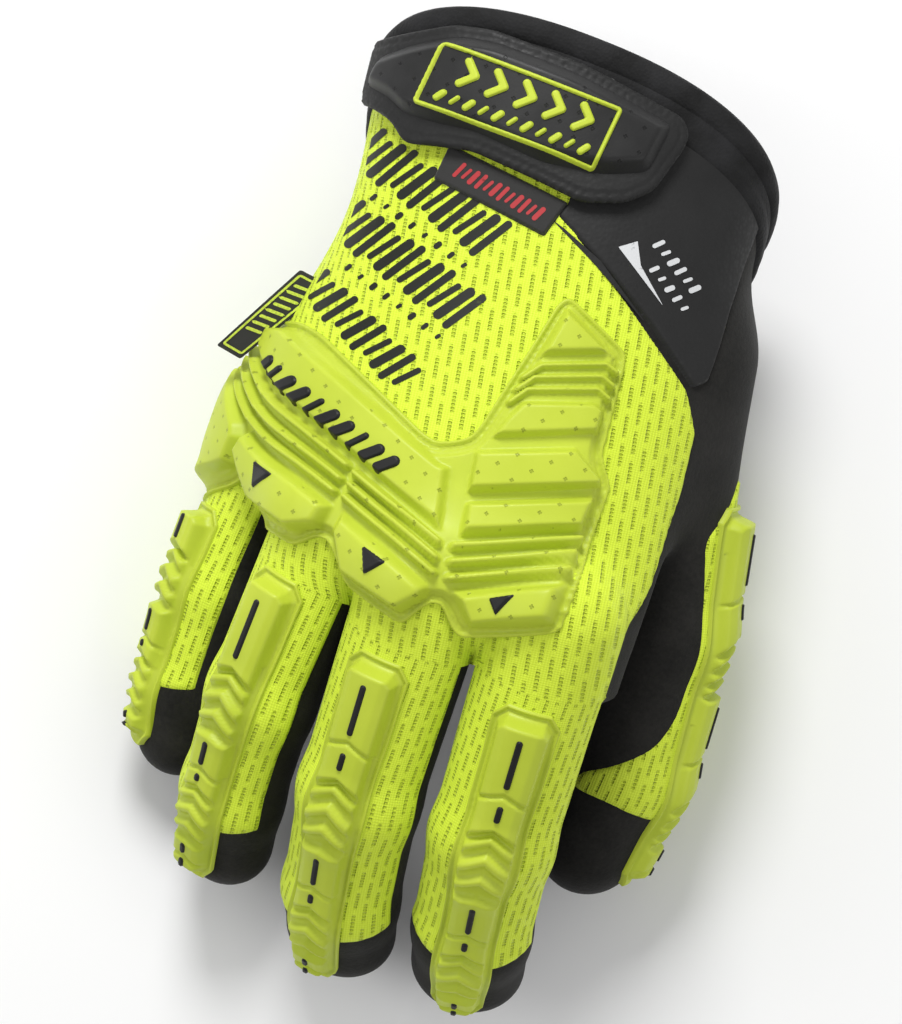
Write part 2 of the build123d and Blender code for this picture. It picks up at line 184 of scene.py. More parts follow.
def finger(name):
    roll, tip_length, bend, start_size, end_size = DIGITS[name]
    knuckle, middle, tip = (pivot(f"{name}_{word}_joint") for word in ("knuckle", "middle", "tip"))
    axis = hinge(f"{name}_knuckle_joint")
    forwards = [unit(middle - knuckle), unit(tip - middle)]
    forwards.append(turned(forwards[1], axis, bend))
    root = knuckle - forwards[0] * PIVOT_SET_IN
    points = [root, middle, tip, tip + forwards[2] * tip_length]
    first_back = turned(np.cross(forwards[0], axis), forwards[0], roll)
    bends = [0.0]
    for a, b in zip(forwards, forwards[1:]):
        bends.append(bends[-1] + math.degrees(math.acos(min(1.0, float(a @ b)))))
    backs = [turned(first_back, axis, angle) for angle in bends]
    return Digit(name, points, forwards, backs, (start_size, end_size))


def thumb():
    knuckle, tip = pivot("thumb_knuckle_joint"), pivot("thumb_tip_joint")
    axis = -hinge("thumb_knuckle_joint")
    middle = unit(tip - knuckle)
    forwards = [turned(middle, axis, -THUMB_BENDS[0]), middle, turned(middle, axis, THUMB_BENDS[1])]
    points = [knuckle - forwards[0] * THUMB_BASE_LENGTH, knuckle, tip, tip + forwards[2] * THUMB_TIP_LENGTH]
    backs = [np.cross(f, axis) for f in forwards]
    made = Digit("thumb", points, forwards, backs, THUMB_SIZES)
    made.set_back = 0.0
    return made


FINGERS = {name: finger(name) for name in DIGITS}
THUMB = thumb()
ORIGIN = pivot("index_knuckle_joint") - vec(26.24, -39.62, 59.76)

# Hand sections: y, centre x and z, half width, half thickness, tilt, sag
STATIONS = np.array(
    [
        (-52.0, -17.0, 45.0, 53.0, 11.5, 32.0, 23.0),
        (-12.0, -12.0, 50.0, 54.0, 15.0, 29.0, 20.0),
        (20.0, -4.0, 44.5, 51.0, 21.0, 20.0, 12.0),
        (58.0, 7.0, 35.0, 45.5, 26.5, 6.0, 3.0),
        (90.0, 8.0, 30.5, 45.5, 27.0, 0.0, 0.0),
        (130.0, 8.0, 27.0, 46.0, 27.0, 0.0, 0.0),
    ]
)
SECTION_POWER = 2.3
ROOT_LINE_POINT = vec(-2.4, -25.0, 45.0) + ORIGIN
ROOT_LINE_NORMAL = unit(vec(-0.33, -0.944, 0.0))
ROOT_ROUND = 9.0
# How far past a section's edge, as a share of its half width, its arch goes on bending
ARCH_REACH = 1.15


def station(y):
    """A hand section's six numbers at y, on a smooth curve through the stations."""
    ys = STATIONS[:, 0] + ORIGIN[1]
    values = STATIONS[:, 1:] + np.array([ORIGIN[0], ORIGIN[2], 0, 0, 0, 0])
    slopes = np.gradient(values, ys, axis=0)
    y = np.clip(y, ys[0], ys[-1])
    i = np.clip(np.searchsorted(ys, y) - 1, 0, len(ys) - 2)
    h = ys[i + 1] - ys[i]
    t = ((y - ys[i]) / h)[..., None]
    h = h[..., None]
    return (
        (1 + 2 * t) * (1 - t) ** 2 * values[i] + t * (1 - t) ** 2 * h * slopes[i]
        + t * t * (3 - 2 * t) * values[i + 1] + t * t * (t - 1) * h * slopes[i + 1]
    )


def hand_distance(p):
    """Signed distance from points to the palm and back of the hand, roughly, in millimetres."""
    past = np.maximum((p - ROOT_LINE_POINT) @ ROOT_LINE_NORMAL + ROOT_ROUND, 0)
    s = station(p[..., 1])
    tilt = np.radians(s[..., 4])
    dx, dz = p[..., 0] - s[..., 0], p[..., 2] - s[..., 1]
    a = dx * np.cos(tilt) + dz * np.sin(tilt)
    b = -dx * np.sin(tilt) + dz * np.cos(tilt)
    u = np.clip(a / s[..., 2], -ARCH_REACH, ARCH_REACH)
    b = b + s[..., 5] * u * u
    lean = 1 / np.sqrt(1 + (2 * s[..., 5] * u / s[..., 2]) ** 2)
    x, y, z = np.abs(a / s[..., 2]), np.abs(b * lean / s[..., 3]), past / ROOT_ROUND
    scaled = (x**SECTION_POWER + y**SECTION_POWER + z**2.0 + 1e-9) ** (1 / SECTION_POWER)
    reach = np.sqrt((x * s[..., 2]) ** 2 + (y * s[..., 3]) ** 2 + past**2)
    return reach * (1 - 1 / np.maximum(scaled, 0.05))


def body_of_digit(digit):
    """The hand and one finger or the thumb, smoothly joined, without its neighbours."""
    blend = THUMB_BLEND if digit.name == "thumb" else FINGER_BLEND
    return lambda p: smooth_min(hand_distance(p), digit.distance(p), blend) - SHELL_GROW


def whole(p):
    """The whole glove's outside."""
    fingers = None
    for digit in FINGERS.values():
        d = digit.distance(p)
        fingers = d if fingers is None else np.minimum(fingers, d)
    joined = smooth_min(hand_distance(p), fingers, FINGER_BLEND)
    return smooth_min(joined, THUMB.distance(p), THUMB_BLEND) - SHELL_GROW


def gradient(field, p, step=0.3):
    parts = []
    for axis in range(3):
        move = np.zeros(3)
        move[axis] = step
        parts.append(field(p + move) - field(p - move))
    return np.stack(parts, -1) / (2 * step)


def surface_nets(field, low, high, cell):
    """A closed quad mesh of field == 0 on a grid."""
    axes = [np.arange(a, b + cell, cell) for a, b in zip(low, high)]
    grid = np.stack(np.meshgrid(*axes, indexing="ij"), -1)
    value = np.concatenate([field(layer) for layer in grid]).reshape(grid.shape[:3])
    inside = value < 0
    n = np.array(value.shape)
    corners = [(i, j, k) for i in (0, 1) for j in (0, 1) for k in (0, 1)]
    window = {c: tuple(slice(c[a], n[a] - 1 + c[a]) for a in range(3)) for c in corners}
    count = sum(inside[window[c]].astype(int) for c in corners)
    mixed = (count > 0) & (count < 8)
    total, hits = np.zeros(mixed.shape + (3,)), np.zeros(mixed.shape)
    for c in corners:
        for axis in range(3):
            if c[axis]:
                continue
            d = tuple(1 if a == axis else c[a] for a in range(3))
            va, vb = value[window[c]], value[window[d]]
            crossing = (va < 0) != (vb < 0)
            t = np.where(crossing, va / np.where(va == vb, 1, va - vb), 0)
            point = np.array(c, float) + t[..., None] * (np.array(d) - np.array(c))
            total += np.where(crossing[..., None], point, 0)
            hits += crossing
    index = -np.ones(mixed.shape, int)
    where = np.argwhere(mixed)
    index[mixed] = np.arange(len(where))
    verts = np.array(low) + (where + total[mixed] / hits[mixed][:, None]) * cell
    faces = []
    for axis in range(3):
        b, c = (axis + 1) % 3, (axis + 2) % 3
        lower = [slice(1, n[a] - 1) for a in range(3)]
        lower[axis] = slice(0, n[axis] - 1)
        upper = list(lower)
        upper[axis] = slice(1, n[axis])
        here, there = inside[tuple(lower)], inside[tuple(upper)]
        cells = np.argwhere(here != there)
        flips = here[tuple(cells.T)]
        for a in range(3):
            if a != axis:
                cells[:, a] += 1
        step_b, step_c = np.eye(3, dtype=int)[b], np.eye(3, dtype=int)[c]
        quad = [cells - step_b - step_c, cells - step_c, cells, cells - step_b]
        ids = np.stack([index[tuple(q.T)] for q in quad], -1)
        ids[~flips] = ids[~flips][:, ::-1]
        faces.append(ids)
    return verts, np.concatenate(faces)


def settle(field, verts, faces, rounds=3):
    """Spreads a mesh's points evenly and brings them onto field == 0."""
    edges = np.concatenate([faces[:, [0, 1]], faces[:, [1, 2]], faces[:, [2, 3]], faces[:, [3, 0]]])
    degree = np.bincount(edges.ravel(), minlength=len(verts)).astype(float)
    for _ in range(rounds):
        total = np.zeros_like(verts)
        for a, b in ((0, 1), (1, 0)):
            for axis in range(3):
                total[:, axis] += np.bincount(edges[:, a], verts[edges[:, b], axis], minlength=len(verts))
        verts = 0.5 * verts + 0.5 * total / degree[:, None]
        for _ in range(2):
            g = gradient(field, verts)
            d = field(verts)
            verts = verts - g * (np.clip(d, -2, 2) / np.maximum((g * g).sum(-1), 0.2))[:, None]
    return verts


# ---------------------------------------------------------------- charts: surfaces as grids of rays


def hits(field, origin, direction, start, low, high):
    """Where rays from outside meet field == 0, as points and outward normals."""
    r = np.full(origin.shape[:-1], float(start))
    for _ in range(14):
        d = field(origin + direction * r[..., None])
        r = np.clip(r - 0.9 * np.clip(d, -6, 30), low, high)
    for _ in range(3):
        p = origin + direction * r[..., None]
        d = field(p)
        slope = (field(p + direction * 0.2) - d) / 0.2
        r = np.clip(r - np.clip(d / np.maximum(slope, 0.35), -2, 2), low, high)
    p = origin + direction * r[..., None]
    return p, unit(gradient(field, p))


class Chart:
    """A surface as a grid of rays, named by two parameters. search is where each ray starts to look
    for the surface, and the nearest and furthest that it may find it."""

    search = 85.0, 5.0, 110.0

    def __init__(self, field):
        self.field = field

    def coordinates(self, p, a, b):
        """What outlines are drawn in, for a grid of points and its parameters."""
        return a, b

    def missed(self, p):
        """Which rays found no surface."""
        return np.zeros(p.shape[:-1], bool)


class BackChart(Chart):
    """The back of the hand: fans of rays from under its arch, by degrees and y. Coordinates are plan
    x, then down the steep sides by length, and y, both in the hand's own millimetres. little_side is
    where the length down the little finger's side starts to count, if sooner than on the thumb's."""

    steep_from, steep_to = 40.0, 48.0
    hollow_at_knuckles, hollow_at_wrist = 30.0, 17.0

    def __init__(self, field, little_side=None):
        super().__init__(field)
        self.little_side = little_side

    @staticmethod
    def wrist(y):
        """0 at the knuckles and 1 at the wrist."""
        return ramp(y - ORIGIN[1], -10.0, 60.0)

    def rays(self, angle, y):
        wrist = self.wrist(y)
        centre = np.stack([-2 + 8 * wrist + ORIGIN[0], y, 12 + 16 * wrist + ORIGIN[2]], -1)
        a = np.radians(angle)
        return centre, np.stack([np.sin(a), 0 * a, np.cos(a)], -1)

    def points(self, angle, y):
        origin, direction = self.rays(angle, y + ORIGIN[1])
        return hits(self.field, origin, direction, *self.search)

    def missed(self, p):
        """Which rays went under the edge of the hand and ended in its hollow."""
        y = p[..., 1]
        centre, _ = self.rays(0 * y, y)
        hollow = self.hollow_at_knuckles + (self.hollow_at_wrist - self.hollow_at_knuckles) * self.wrist(y)
        return np.linalg.norm(p - centre, axis=-1) < hollow

    def coordinates(self, p, a, b):
        x, z = p[..., 0] - ORIGIN[0], p[..., 2]
        dx, dz = np.diff(x, axis=1), np.diff(z, axis=1)
        middle = (x[:, 1:] + x[:, :-1]) / 2
        steep = ramp(np.abs(middle), self.steep_from, self.steep_to)
        if self.little_side is not None:
            steep = np.maximum(steep, ramp(-middle, self.little_side, self.little_side + 12))
        step = np.where(steep > 0, np.sqrt(dx * dx + steep * dz * dz), dx)
        run = np.concatenate([np.zeros((len(x), 1)), np.cumsum(step, axis=1)], 1)
        anchor = np.argmin(np.abs(x), axis=1)
        rows = np.arange(len(x))
        return run - run[rows, anchor][:, None] + x[rows, anchor][:, None], p[..., 1] - ORIGIN[1]


def blurred(values, reach):
    """A grid smoothed over this many cells each way."""
    weights = np.hanning(2 * reach + 3)[1:-1]
    weights = weights / weights.sum()
    for _ in range(2):
        rows = [np.convolve(np.pad(row, reach, mode="edge"), weights, "valid") for row in values]
        values = np.array(rows).T
    return values


class TautChart(BackChart):
    """The back as a stiff moulding spans it: hollows between the knuckles are bridged."""

    def __init__(self, field, angles, ys, reach):
        super().__init__(field)
        self.first = angles[0], ys[0]
        self.step = angles[1] - angles[0], ys[1] - ys[0]
        angle, y = np.meshgrid(angles, ys)
        p, _ = super().points(angle, y)
        origin, direction = self.rays(angle, y + ORIGIN[1])
        r = ((p - origin) * direction).sum(-1)
        for row, lost in zip(r, self.missed(p)):
            if not lost.all():
                row[:] = np.interp(angles, angles[~lost], row[~lost])
        for _ in range(3):
            r = np.maximum(r, blurred(r, reach))
        r = blurred(r, reach // 3)
        p = origin + direction * r[..., None]
        n = unit(np.cross(np.gradient(p, axis=0), np.gradient(p, axis=1)))
        n = np.where((n * direction).sum(-1, keepdims=True) < 0, -n, n)
        self.table = np.concatenate([p, n], -1)

    def points(self, angle, y):
        rows, columns = self.table.shape[:2]
        i = np.clip((y - self.first[1]) / self.step[1], 0, rows - 1.001)
        j = np.clip((angle - self.first[0]) / self.step[0], 0, columns - 1.001)
        row, column = i.astype(int), j.astype(int)
        u, v = (i - row)[..., None], (j - column)[..., None]
        near = self.table[row, column] * (1 - v) + self.table[row, column + 1] * v
        far = self.table[row + 1, column] * (1 - v) + self.table[row + 1, column + 1] * v
        found = near * (1 - u) + far * u
        return found[..., :3], unit(found[..., 3:])


class DigitChart(Chart):
    """A digit's sleeve, by millimetres across its back and along it, over the tip."""

    search = 24.0, 4.0, 26.0

    def __init__(self, digit):
        super().__init__(body_of_digit(digit))
        self.digit = digit
        self.cap_from = digit.total - digit.cap_radius

    def radius(self, along):
        return self.digit.size(np.minimum(along, self.digit.total)).mean(-1) + 2.0

    def points(self, across, along):
        shape = along.shape
        s = np.minimum(along, self.cap_from).ravel()
        at, forward, back, side = (a.reshape(shape + (3,)) for a in self.digit.frames(s))
        over = (np.maximum(along - self.cap_from, 0) / self.digit.cap_radius)[..., None]
        back = back * np.cos(over) + forward * np.sin(over)
        turn = (across / self.radius(along))[..., None]
        direction = side * np.sin(turn) + back * np.cos(turn)
        return hits(self.field, at, direction, *self.search)


class RingChart(Chart):
    """Round the wrist, in planes parallel to the cuff's edge: degrees round and millimetres in from it."""

    search = 75.0, 5.0, 90.0

    def __init__(self, field, point, normal):
        super().__init__(field)
        self.point, self.normal = point, normal
        self.right = unit(np.cross(vec(0, 0, 1), normal))
        self.right = -self.right if self.right[0] < 0 else self.right
        self.up = unit(np.cross(self.right, normal))
        self.up = -self.up if self.up[2] < 0 else self.up

    def points(self, angle, inward):
        origin = self.point - self.normal * inward[..., None]
        a = np.radians(angle)[..., None]
        direction = self.right * np.cos(a) + self.up * np.sin(a)
        return hits(self.field, origin, direction, *self.search)


class UnderChart(Chart):
    """The palm's side, seen from straight below: plan x and y in the hand's own millimetres."""

    search = 80.0, -30.0, 80.0
    above = 44.0

    def points(self, x, y):
        origin = np.stack([x, y, 0 * x + self.above], -1) + ORIGIN
        direction = np.broadcast_to(vec(0, 0, -1), origin.shape)
        return hits(self.field, origin, direction, *self.search)


class TabChart(Chart):
    """A four-cornered tab of cloth that sticks out flat and droops a little towards its end: u runs
    along it from a to d and v across it from a to b, in millimetres."""

    droop = 1.6

    def __init__(self, corners, low):
        self.corners, self.low = corners, low
        a, b, _, d = corners
        self.wide, self.tall = np.linalg.norm(d - a), np.linalg.norm(b - a)

    def points(self, u, v):
        a, b, c, d = self.corners
        s, t = (u / self.wide)[..., None], (v / self.tall)[..., None]
        flat = (a * (1 - s) + d * s) * (1 - t) + (b * (1 - s) + c * s) * t
        z = self.low - self.droop * s[..., 0] ** 2
        p = np.stack([flat[..., 0], flat[..., 1], z], -1) + ORIGIN
        return p, np.broadcast_to(vec(0, 0, 1), p.shape)


# ---------------------------------------------------------------- flat shapes, as signed distances


def polygon(points, *where):
    """Signed distance to a polygon, minus inside."""
    x, y = where
    points = np.array(points, float)
    best, inside = np.full(x.shape, 1e9), np.zeros(x.shape, bool)
    for a, b in zip(points, np.roll(points, -1, 0)):
        e, px, py = b - a, x - a[0], y - a[1]
        t = np.clip((px * e[0] + py * e[1]) / (e @ e), 0, 1)
        best = np.minimum(best, np.hypot(px - t * e[0], py - t * e[1]))
        crosses = (a[1] > y) != (b[1] > y)
        reach = a[0] + (y - a[1]) * e[0] / (e[1] if abs(e[1]) > 1e-9 else 1e-9)
        inside ^= crosses & (x < reach)
    return np.where(inside, -best, best)


def rounded_box(x, y, half_x, half_y, corner):
    dx, dy = np.abs(x) - half_x + corner, np.abs(y) - half_y + corner
    return np.hypot(np.maximum(dx, 0), np.maximum(dy, 0)) + np.minimum(np.maximum(dx, dy), 0) - corner


def bar(x, y, a, b, half):
    """Signed distance to a round-ended bar from a to b."""
    ex, ey = b[0] - a[0], b[1] - a[1]
    t = np.clip(((x - a[0]) * ex + (y - a[1]) * ey) / (ex * ex + ey * ey), 0, 1)
    return np.hypot(x - a[0] - t * ex, y - a[1] - t * ey) - half


def raised(distance, height, bevel=1.0):
    """A plateau of this height inside a shape, with a rounded bevel along its edge."""
    return height * ramp(-distance, 0.0, bevel)


def chamfered(distance, width):
    """0 outside a shape and 1 inside it, with a straight chamfer and a slightly rounded top edge."""
    share = np.clip(-distance / width, 0, 1)
    return np.clip(smooth_min(1.1 * share, 1.0 + 0 * share, 0.2), 0, 1)


def on_top(height, distance, body):
    """The higher of two heights inside a shape, and the first one outside it."""
    return np.where(distance < 0, np.maximum(height, body), height)


def rounded(points, radius, steps=3):
    """An outline with its corners rounded."""
    points = np.array(points, float)
    found = []
    for before, at, after in zip(np.roll(points, 1, 0), points, np.roll(points, -1, 0)):
        ends = []
        for other in (before, after):
            long = np.linalg.norm(other - at)
            ends.append(at + (other - at) * min(radius, long * 0.45) / long)
        for t in np.linspace(0, 1, steps + 1):
            found.append((1 - t) ** 2 * ends[0] + 2 * t * (1 - t) * at + t * t * ends[1])
    return found


def outline_of(points, radius, steps=3):
    """Signed distance to a polygon with its corners rounded, as a function."""
    curve = rounded(points, radius, steps)
    return lambda x, y: polygon(curve, x, y)


def stitched(height, inset_distance, along, depth=0.4, pitch=2.6, half=0.6):
    """Sinks a groove into a height, with sewn dashes in it."""
    off_line = np.abs(inset_distance)
    groove = ramp(half + 0.35 - off_line, 0.0, 0.35)
    gaps = ramp(np.abs((along / pitch) % 1 - 0.5), 0.1, 0.18)
    dash = ramp(half - 0.2 - off_line, 0.0, 0.2) * gaps
    return height - depth * groove + 0.5 * depth * dash


# ---------------------------------------------------------------- meshes


def new_mesh(name, verts, faces, material, normals=None, chart=None):
    mesh = bpy.data.meshes.new(name)
    mesh.from_pydata((np.asarray(verts) * MM).tolist(), [], [list(map(int, f)) for f in faces])
    mesh.materials.append(material)
    for face in mesh.polygons:
        face.use_smooth = True
    if chart is not None:
        layer = mesh.attributes.new("chart", "FLOAT_VECTOR", "POINT")
        layer.data.foreach_set("vector", np.asarray(chart, np.float32).ravel())
    if normals is not None:
        mesh.normals_split_custom_set_from_vertices(np.asarray(normals).tolist())
    mesh.update()
    made = bpy.data.objects.new(name, mesh)
    bpy.context.scene.collection.objects.link(made)
    return made


def grid_faces(keep):
    """Quads of a grid for the cells to keep."""
    i, j = np.nonzero(keep)
    wide = keep.shape[1] + 1
    first = i * wide + j
    return np.stack([first, first + 1, first + 1 + wide, first + wide], -1)


def compact(faces, count):
    """Drops unused points: the new faces, and which points stay."""
    used = np.unique(faces)
    place = -np.ones(count, int)
    place[used] = np.arange(len(used))
    return place[faces], used


def facing(points, normals, faces):
    """Turns a whole grid's faces over if they look inwards."""
    a, b, c = points[faces[:, 0]], points[faces[:, 1]], points[faces[:, 2]]
    along = (np.cross(b - a, c - a) * normals[faces[:, 0]]).sum()
    return faces[:, ::-1] if along < 0 else faces


class Relief:
    """A grid laid over a chart, cut to an outline, and raised to a height above the fabric."""

    # The flat size of a sheet: a high percentile of its rows' and columns' lengths, so that one long
    # row doesn't set it, and the least of that rectangle that its cut may fill
    size_percentile = 85
    least_filled = 0.31

    def __init__(self, chart, first, second, outline, rise=0.0, limit=None):
        """first and second are the grid's two parameters. outline gives a signed distance from the
        chart's coordinates, measured this rise above the fabric, and limit one more, from points."""
        a, b = np.meshgrid(first, second)
        p, n = chart.points(a, b)
        x, y = chart.coordinates(p + n * rise, a, b)
        d = outline(x, y)
        if limit is not None:
            d = np.maximum(d, limit(p))
        missed = chart.missed(p)
        inside = (d < 0) & ~missed
        keep = inside[1:, 1:] | inside[1:, :-1] | inside[:-1, 1:] | inside[:-1, :-1]
        keep &= ~(missed[1:, 1:] | missed[1:, :-1] | missed[:-1, 1:] | missed[:-1, :-1])
        border = (d > 0) & self.touched(keep)
        grad_b, grad_a = np.gradient(d)
        step_a, step_b = first[1] - first[0], second[1] - second[0]
        scale = np.maximum(grad_a**2 + grad_b**2, 1e-6)
        move_a = np.clip(-d * grad_a / scale, -1.2, 1.2) * step_a
        move_b = np.clip(-d * grad_b / scale, -1.2, 1.2) * step_b
        a = np.where(border, a + move_a, a)
        b = np.where(border, b + move_b, b)
        p, n = chart.points(a, b)
        self.x = np.where(border, x + np.gradient(x, axis=1) * move_a / step_a, x)
        self.y = np.where(border, y + np.gradient(y, axis=0) * move_b / step_b, y)
        self.distance = np.where(border, 0.0, d)
        self.points, self.normals, self.keep, self.parameters = p, n, keep, (a, b)

    @staticmethod
    def touched(keep):
        """Which points are corners of the cells to keep."""
        padded = np.pad(keep, 1)
        return padded[1:, 1:] | padded[1:, :-1] | padded[:-1, 1:] | padded[:-1, :-1]

    def kept(self, rows):
        """Which cells stay: rows limits the second parameter."""
        if rows is None:
            return self.keep
        middle = (self.parameters[1][1:, 1:] + self.parameters[1][:-1, :-1]) / 2
        return self.keep & (middle >= rows[0]) & (middle < rows[1])

    def declare(self, piece, rows=None):
        """Works out a piece's size and area as a sheet of cloth cut to the surface, without keeping them."""
        keep = self.kept(rows)
        across, along = np.diff(self.points, axis=1)[:-1], np.diff(self.points, axis=0)[:, :-1]
        widths = (np.linalg.norm(across, axis=-1) * keep).sum(1) * MM
        lengths = (np.linalg.norm(along, axis=-1) * keep).sum(0) * MM
        width, length = (
            float(np.percentile(sizes[sizes > 0], self.size_percentile)) for sizes in (widths, lengths)
        )
        area = (np.linalg.norm(np.cross(across, along), axis=-1) * keep).sum() * MM * MM
        area = float(np.clip(area, self.least_filled * width * length, width * length))

    def build(self, name, material, height, rows=None, under=None):
        """The piece's mesh. rows limits the second parameter, and under adds a flat underside."""
        keep = self.kept(rows)
        top = (self.points + self.normals * height[..., None]).reshape(-1, 3)
        faces = facing(top, self.normals.reshape(-1, 3), grid_faces(keep))
        chart = np.stack([self.x, self.y, height], -1).reshape(-1, 3)
        faces, used = compact(faces, len(top))
        verts, chart = top[used], chart[used]
        if under is not None:
            low = (self.points + self.normals * under).reshape(-1, 3)[used]
            count = len(verts)
            edges = np.concatenate([faces[:, [i, (i + 1) % 4]] for i in range(4)])
            key = np.sort(edges, 1)
            _, first, times = np.unique(key, axis=0, return_index=True, return_counts=True)
            rim = edges[first[times == 1]]
            walls = np.stack([rim[:, 1], rim[:, 0], rim[:, 0] + count, rim[:, 1] + count], -1)
            faces = np.concatenate([faces, faces[:, ::-1] + count, walls])
            verts, chart = np.concatenate([verts, low]), np.concatenate([chart, chart])
        return new_mesh(name, verts, faces, material, chart=chart)


def fasten(piece, node=None, body="hand"):
    """Rides a whole piece on one body, in place of a CAD node if there is one."""
    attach(piece, body)
    if node:
        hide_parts(node)
    return piece


back_chart = BackChart(whole)
under_chart = UnderChart(whole)


# ---------------------------------------------------------------- materials


class Nodes:
    """A short way to write a material's node tree."""

    def __init__(self, name, **sockets):
        self.material = bpy.data.materials.new(name)
        self.material.use_nodes = True
        self.tree = self.material.node_tree
        self.shader = self.tree.nodes["Principled BSDF"]
        for label, value in sockets.items():
            self.shader.inputs[label.replace("_", " ")].default_value = value

    def node(self, kind, inputs=(), **settings):
        made = self.tree.nodes.new("ShaderNode" + kind)
        for key, value in settings.items():
            setattr(made, key, value)
        for key, value in dict(inputs).items():
            self.put(made.inputs[key], value)
        return made

    def put(self, socket, value):
        if isinstance(value, bpy.types.Node):
            value = value.outputs[0]
        if isinstance(value, bpy.types.NodeSocket):
            self.tree.links.new(value, socket)
        else:
            socket.default_value = value

    def math(self, operation, a, b=0.0, c=0.0):
        return self.node("Math", {0: a, 1: b, 2: c}, operation=operation).outputs[0]

    def waves(self, along, pitch):
        """A sine wave from -1 to 1 with this pitch, in millimetres."""
        return self.math("SINE", self.math("MULTIPLY", along, 2 * math.pi / pitch))

    def chart(self, scale=1.0):
        """The piece's own flat coordinates in millimetres, as separate sockets."""
        attribute = self.node("Attribute", attribute_name="chart", attribute_type="GEOMETRY")
        inputs = {0: attribute.outputs["Vector"], 1: (scale,) * 3}
        scaled = self.node("VectorMath", inputs, operation="MULTIPLY")
        return self.node("SeparateXYZ", {0: scaled.outputs[0]})

    def noise(self, scale, detail=3.0, roughness=0.5, vector=None):
        vector = vector or self.node("TexCoord").outputs["Object"]
        inputs = {"Vector": vector, "Scale": scale, "Detail": detail, "Roughness": roughness}
        return self.node("TexNoise", inputs).outputs["Fac"]

    def mix(self, factor, a, b):
        made = self.node("Mix", data_type="RGBA")
        self.put(made.inputs[0], factor)
        self.put(made.inputs[6], a)
        self.put(made.inputs[7], b)
        return made.outputs[2]

    def range(self, value, low, high, to_low=0.0, to_high=1.0):
        return self.node("MapRange", {0: value, 1: low, 2: high, 3: to_low, 4: to_high}).outputs[0]

    def bump(self, height, strength, distance, below=None):
        made = self.node("Bump", {"Height": height, "Strength": strength, "Distance": distance})
        if below is not None:
            self.tree.links.new(below, made.inputs["Normal"])
        return made.outputs["Normal"]

    def finish(self, color=None, roughness=None, normal=None):
        for label, value in (("Base Color", color), ("Roughness", roughness), ("Normal", normal)):
            if value is not None:
                self.put(self.shader.inputs[label], value)
        return self.material


# Pitches of the knit's holes, ribs and loops and of the label's threads, in millimetres
HOLE_COLUMN_PITCH = 2.5
HOLE_COLUMNS_LEAN = 0.06
HOLE_GROUP_PITCH = 6.4
HOLE_PITCH = 0.8
KNIT_RIB_PITCH = 0.62
KNIT_LOOP_PITCH = 0.5
WARP_PITCH = 0.3
WEFT_PITCH = 0.24


def knit_material():
    """Hi-viz knit: fine ribs, with staggered columns of small holes. Its colour is darkened with painted shade in
    the grooves between ribs and loops and inside the holes.
    """
    n = Nodes("hiviz_knit", Specular_IOR_Level=0.1, Sheen_Weight=0.05, Sheen_Roughness=0.4)
    xyz = n.chart()
    leaning = n.math("ADD", xyz.outputs[0], n.math("MULTIPLY", xyz.outputs[1], HOLE_COLUMNS_LEAN))
    column = n.math("DIVIDE", leaning, HOLE_COLUMN_PITCH)
    number = n.math("FLOOR", column)
    odd = n.math("MODULO", n.math("ABSOLUTE", number), 2.0)
    across = n.math("ABSOLUTE", n.math("SUBTRACT", n.math("FRACT", column), 0.5))
    row = n.math("ADD", n.math("DIVIDE", xyz.outputs[1], HOLE_GROUP_PITCH), n.math("MULTIPLY", odd, 0.5))
    along = n.math("ABSOLUTE", n.math("SUBTRACT", n.math("FRACT", row), 0.5))
    dash = n.math("MULTIPLY", n.range(across, 0.19, 0.08), n.range(along, 0.42, 0.30))
    holes = n.waves(xyz.outputs[1], HOLE_PITCH)
    pit = n.math("MULTIPLY", dash, n.range(holes, -0.7, 0.6, 0.25, 1.0))
    ribs = n.waves(xyz.outputs[0], KNIT_RIB_PITCH)
    loops = n.waves(xyz.outputs[1], KNIT_LOOP_PITCH)
    grain = n.math("ADD", n.math("MULTIPLY", ribs, 0.5), n.math("MULTIPLY", loops, 0.35))
    cloth = n.mix(n.noise(60.0), (0.68, 0.84, 0.062, 1), (0.76, 0.92, 0.085, 1))
    # Painted shade: the cloth is darker in the grooves between the knit's ribs and loops.
    shade = n.mix(n.range(grain, -0.8, 0.8), (0.60, 0.75, 0.042, 1), cloth)
    # Painted shade: the cloth is darkened inside the holes.
    color = n.mix(n.math("MULTIPLY", pit, 0.5), shade, (0.38, 0.50, 0.015, 1))
    soft = n.bump(grain, 0.35, 0.00012)
    return n.finish(color, n.noise(300.0, 2.0), n.bump(n.math("MULTIPLY", pit, -1.0), 0.9, 0.0006, soft))


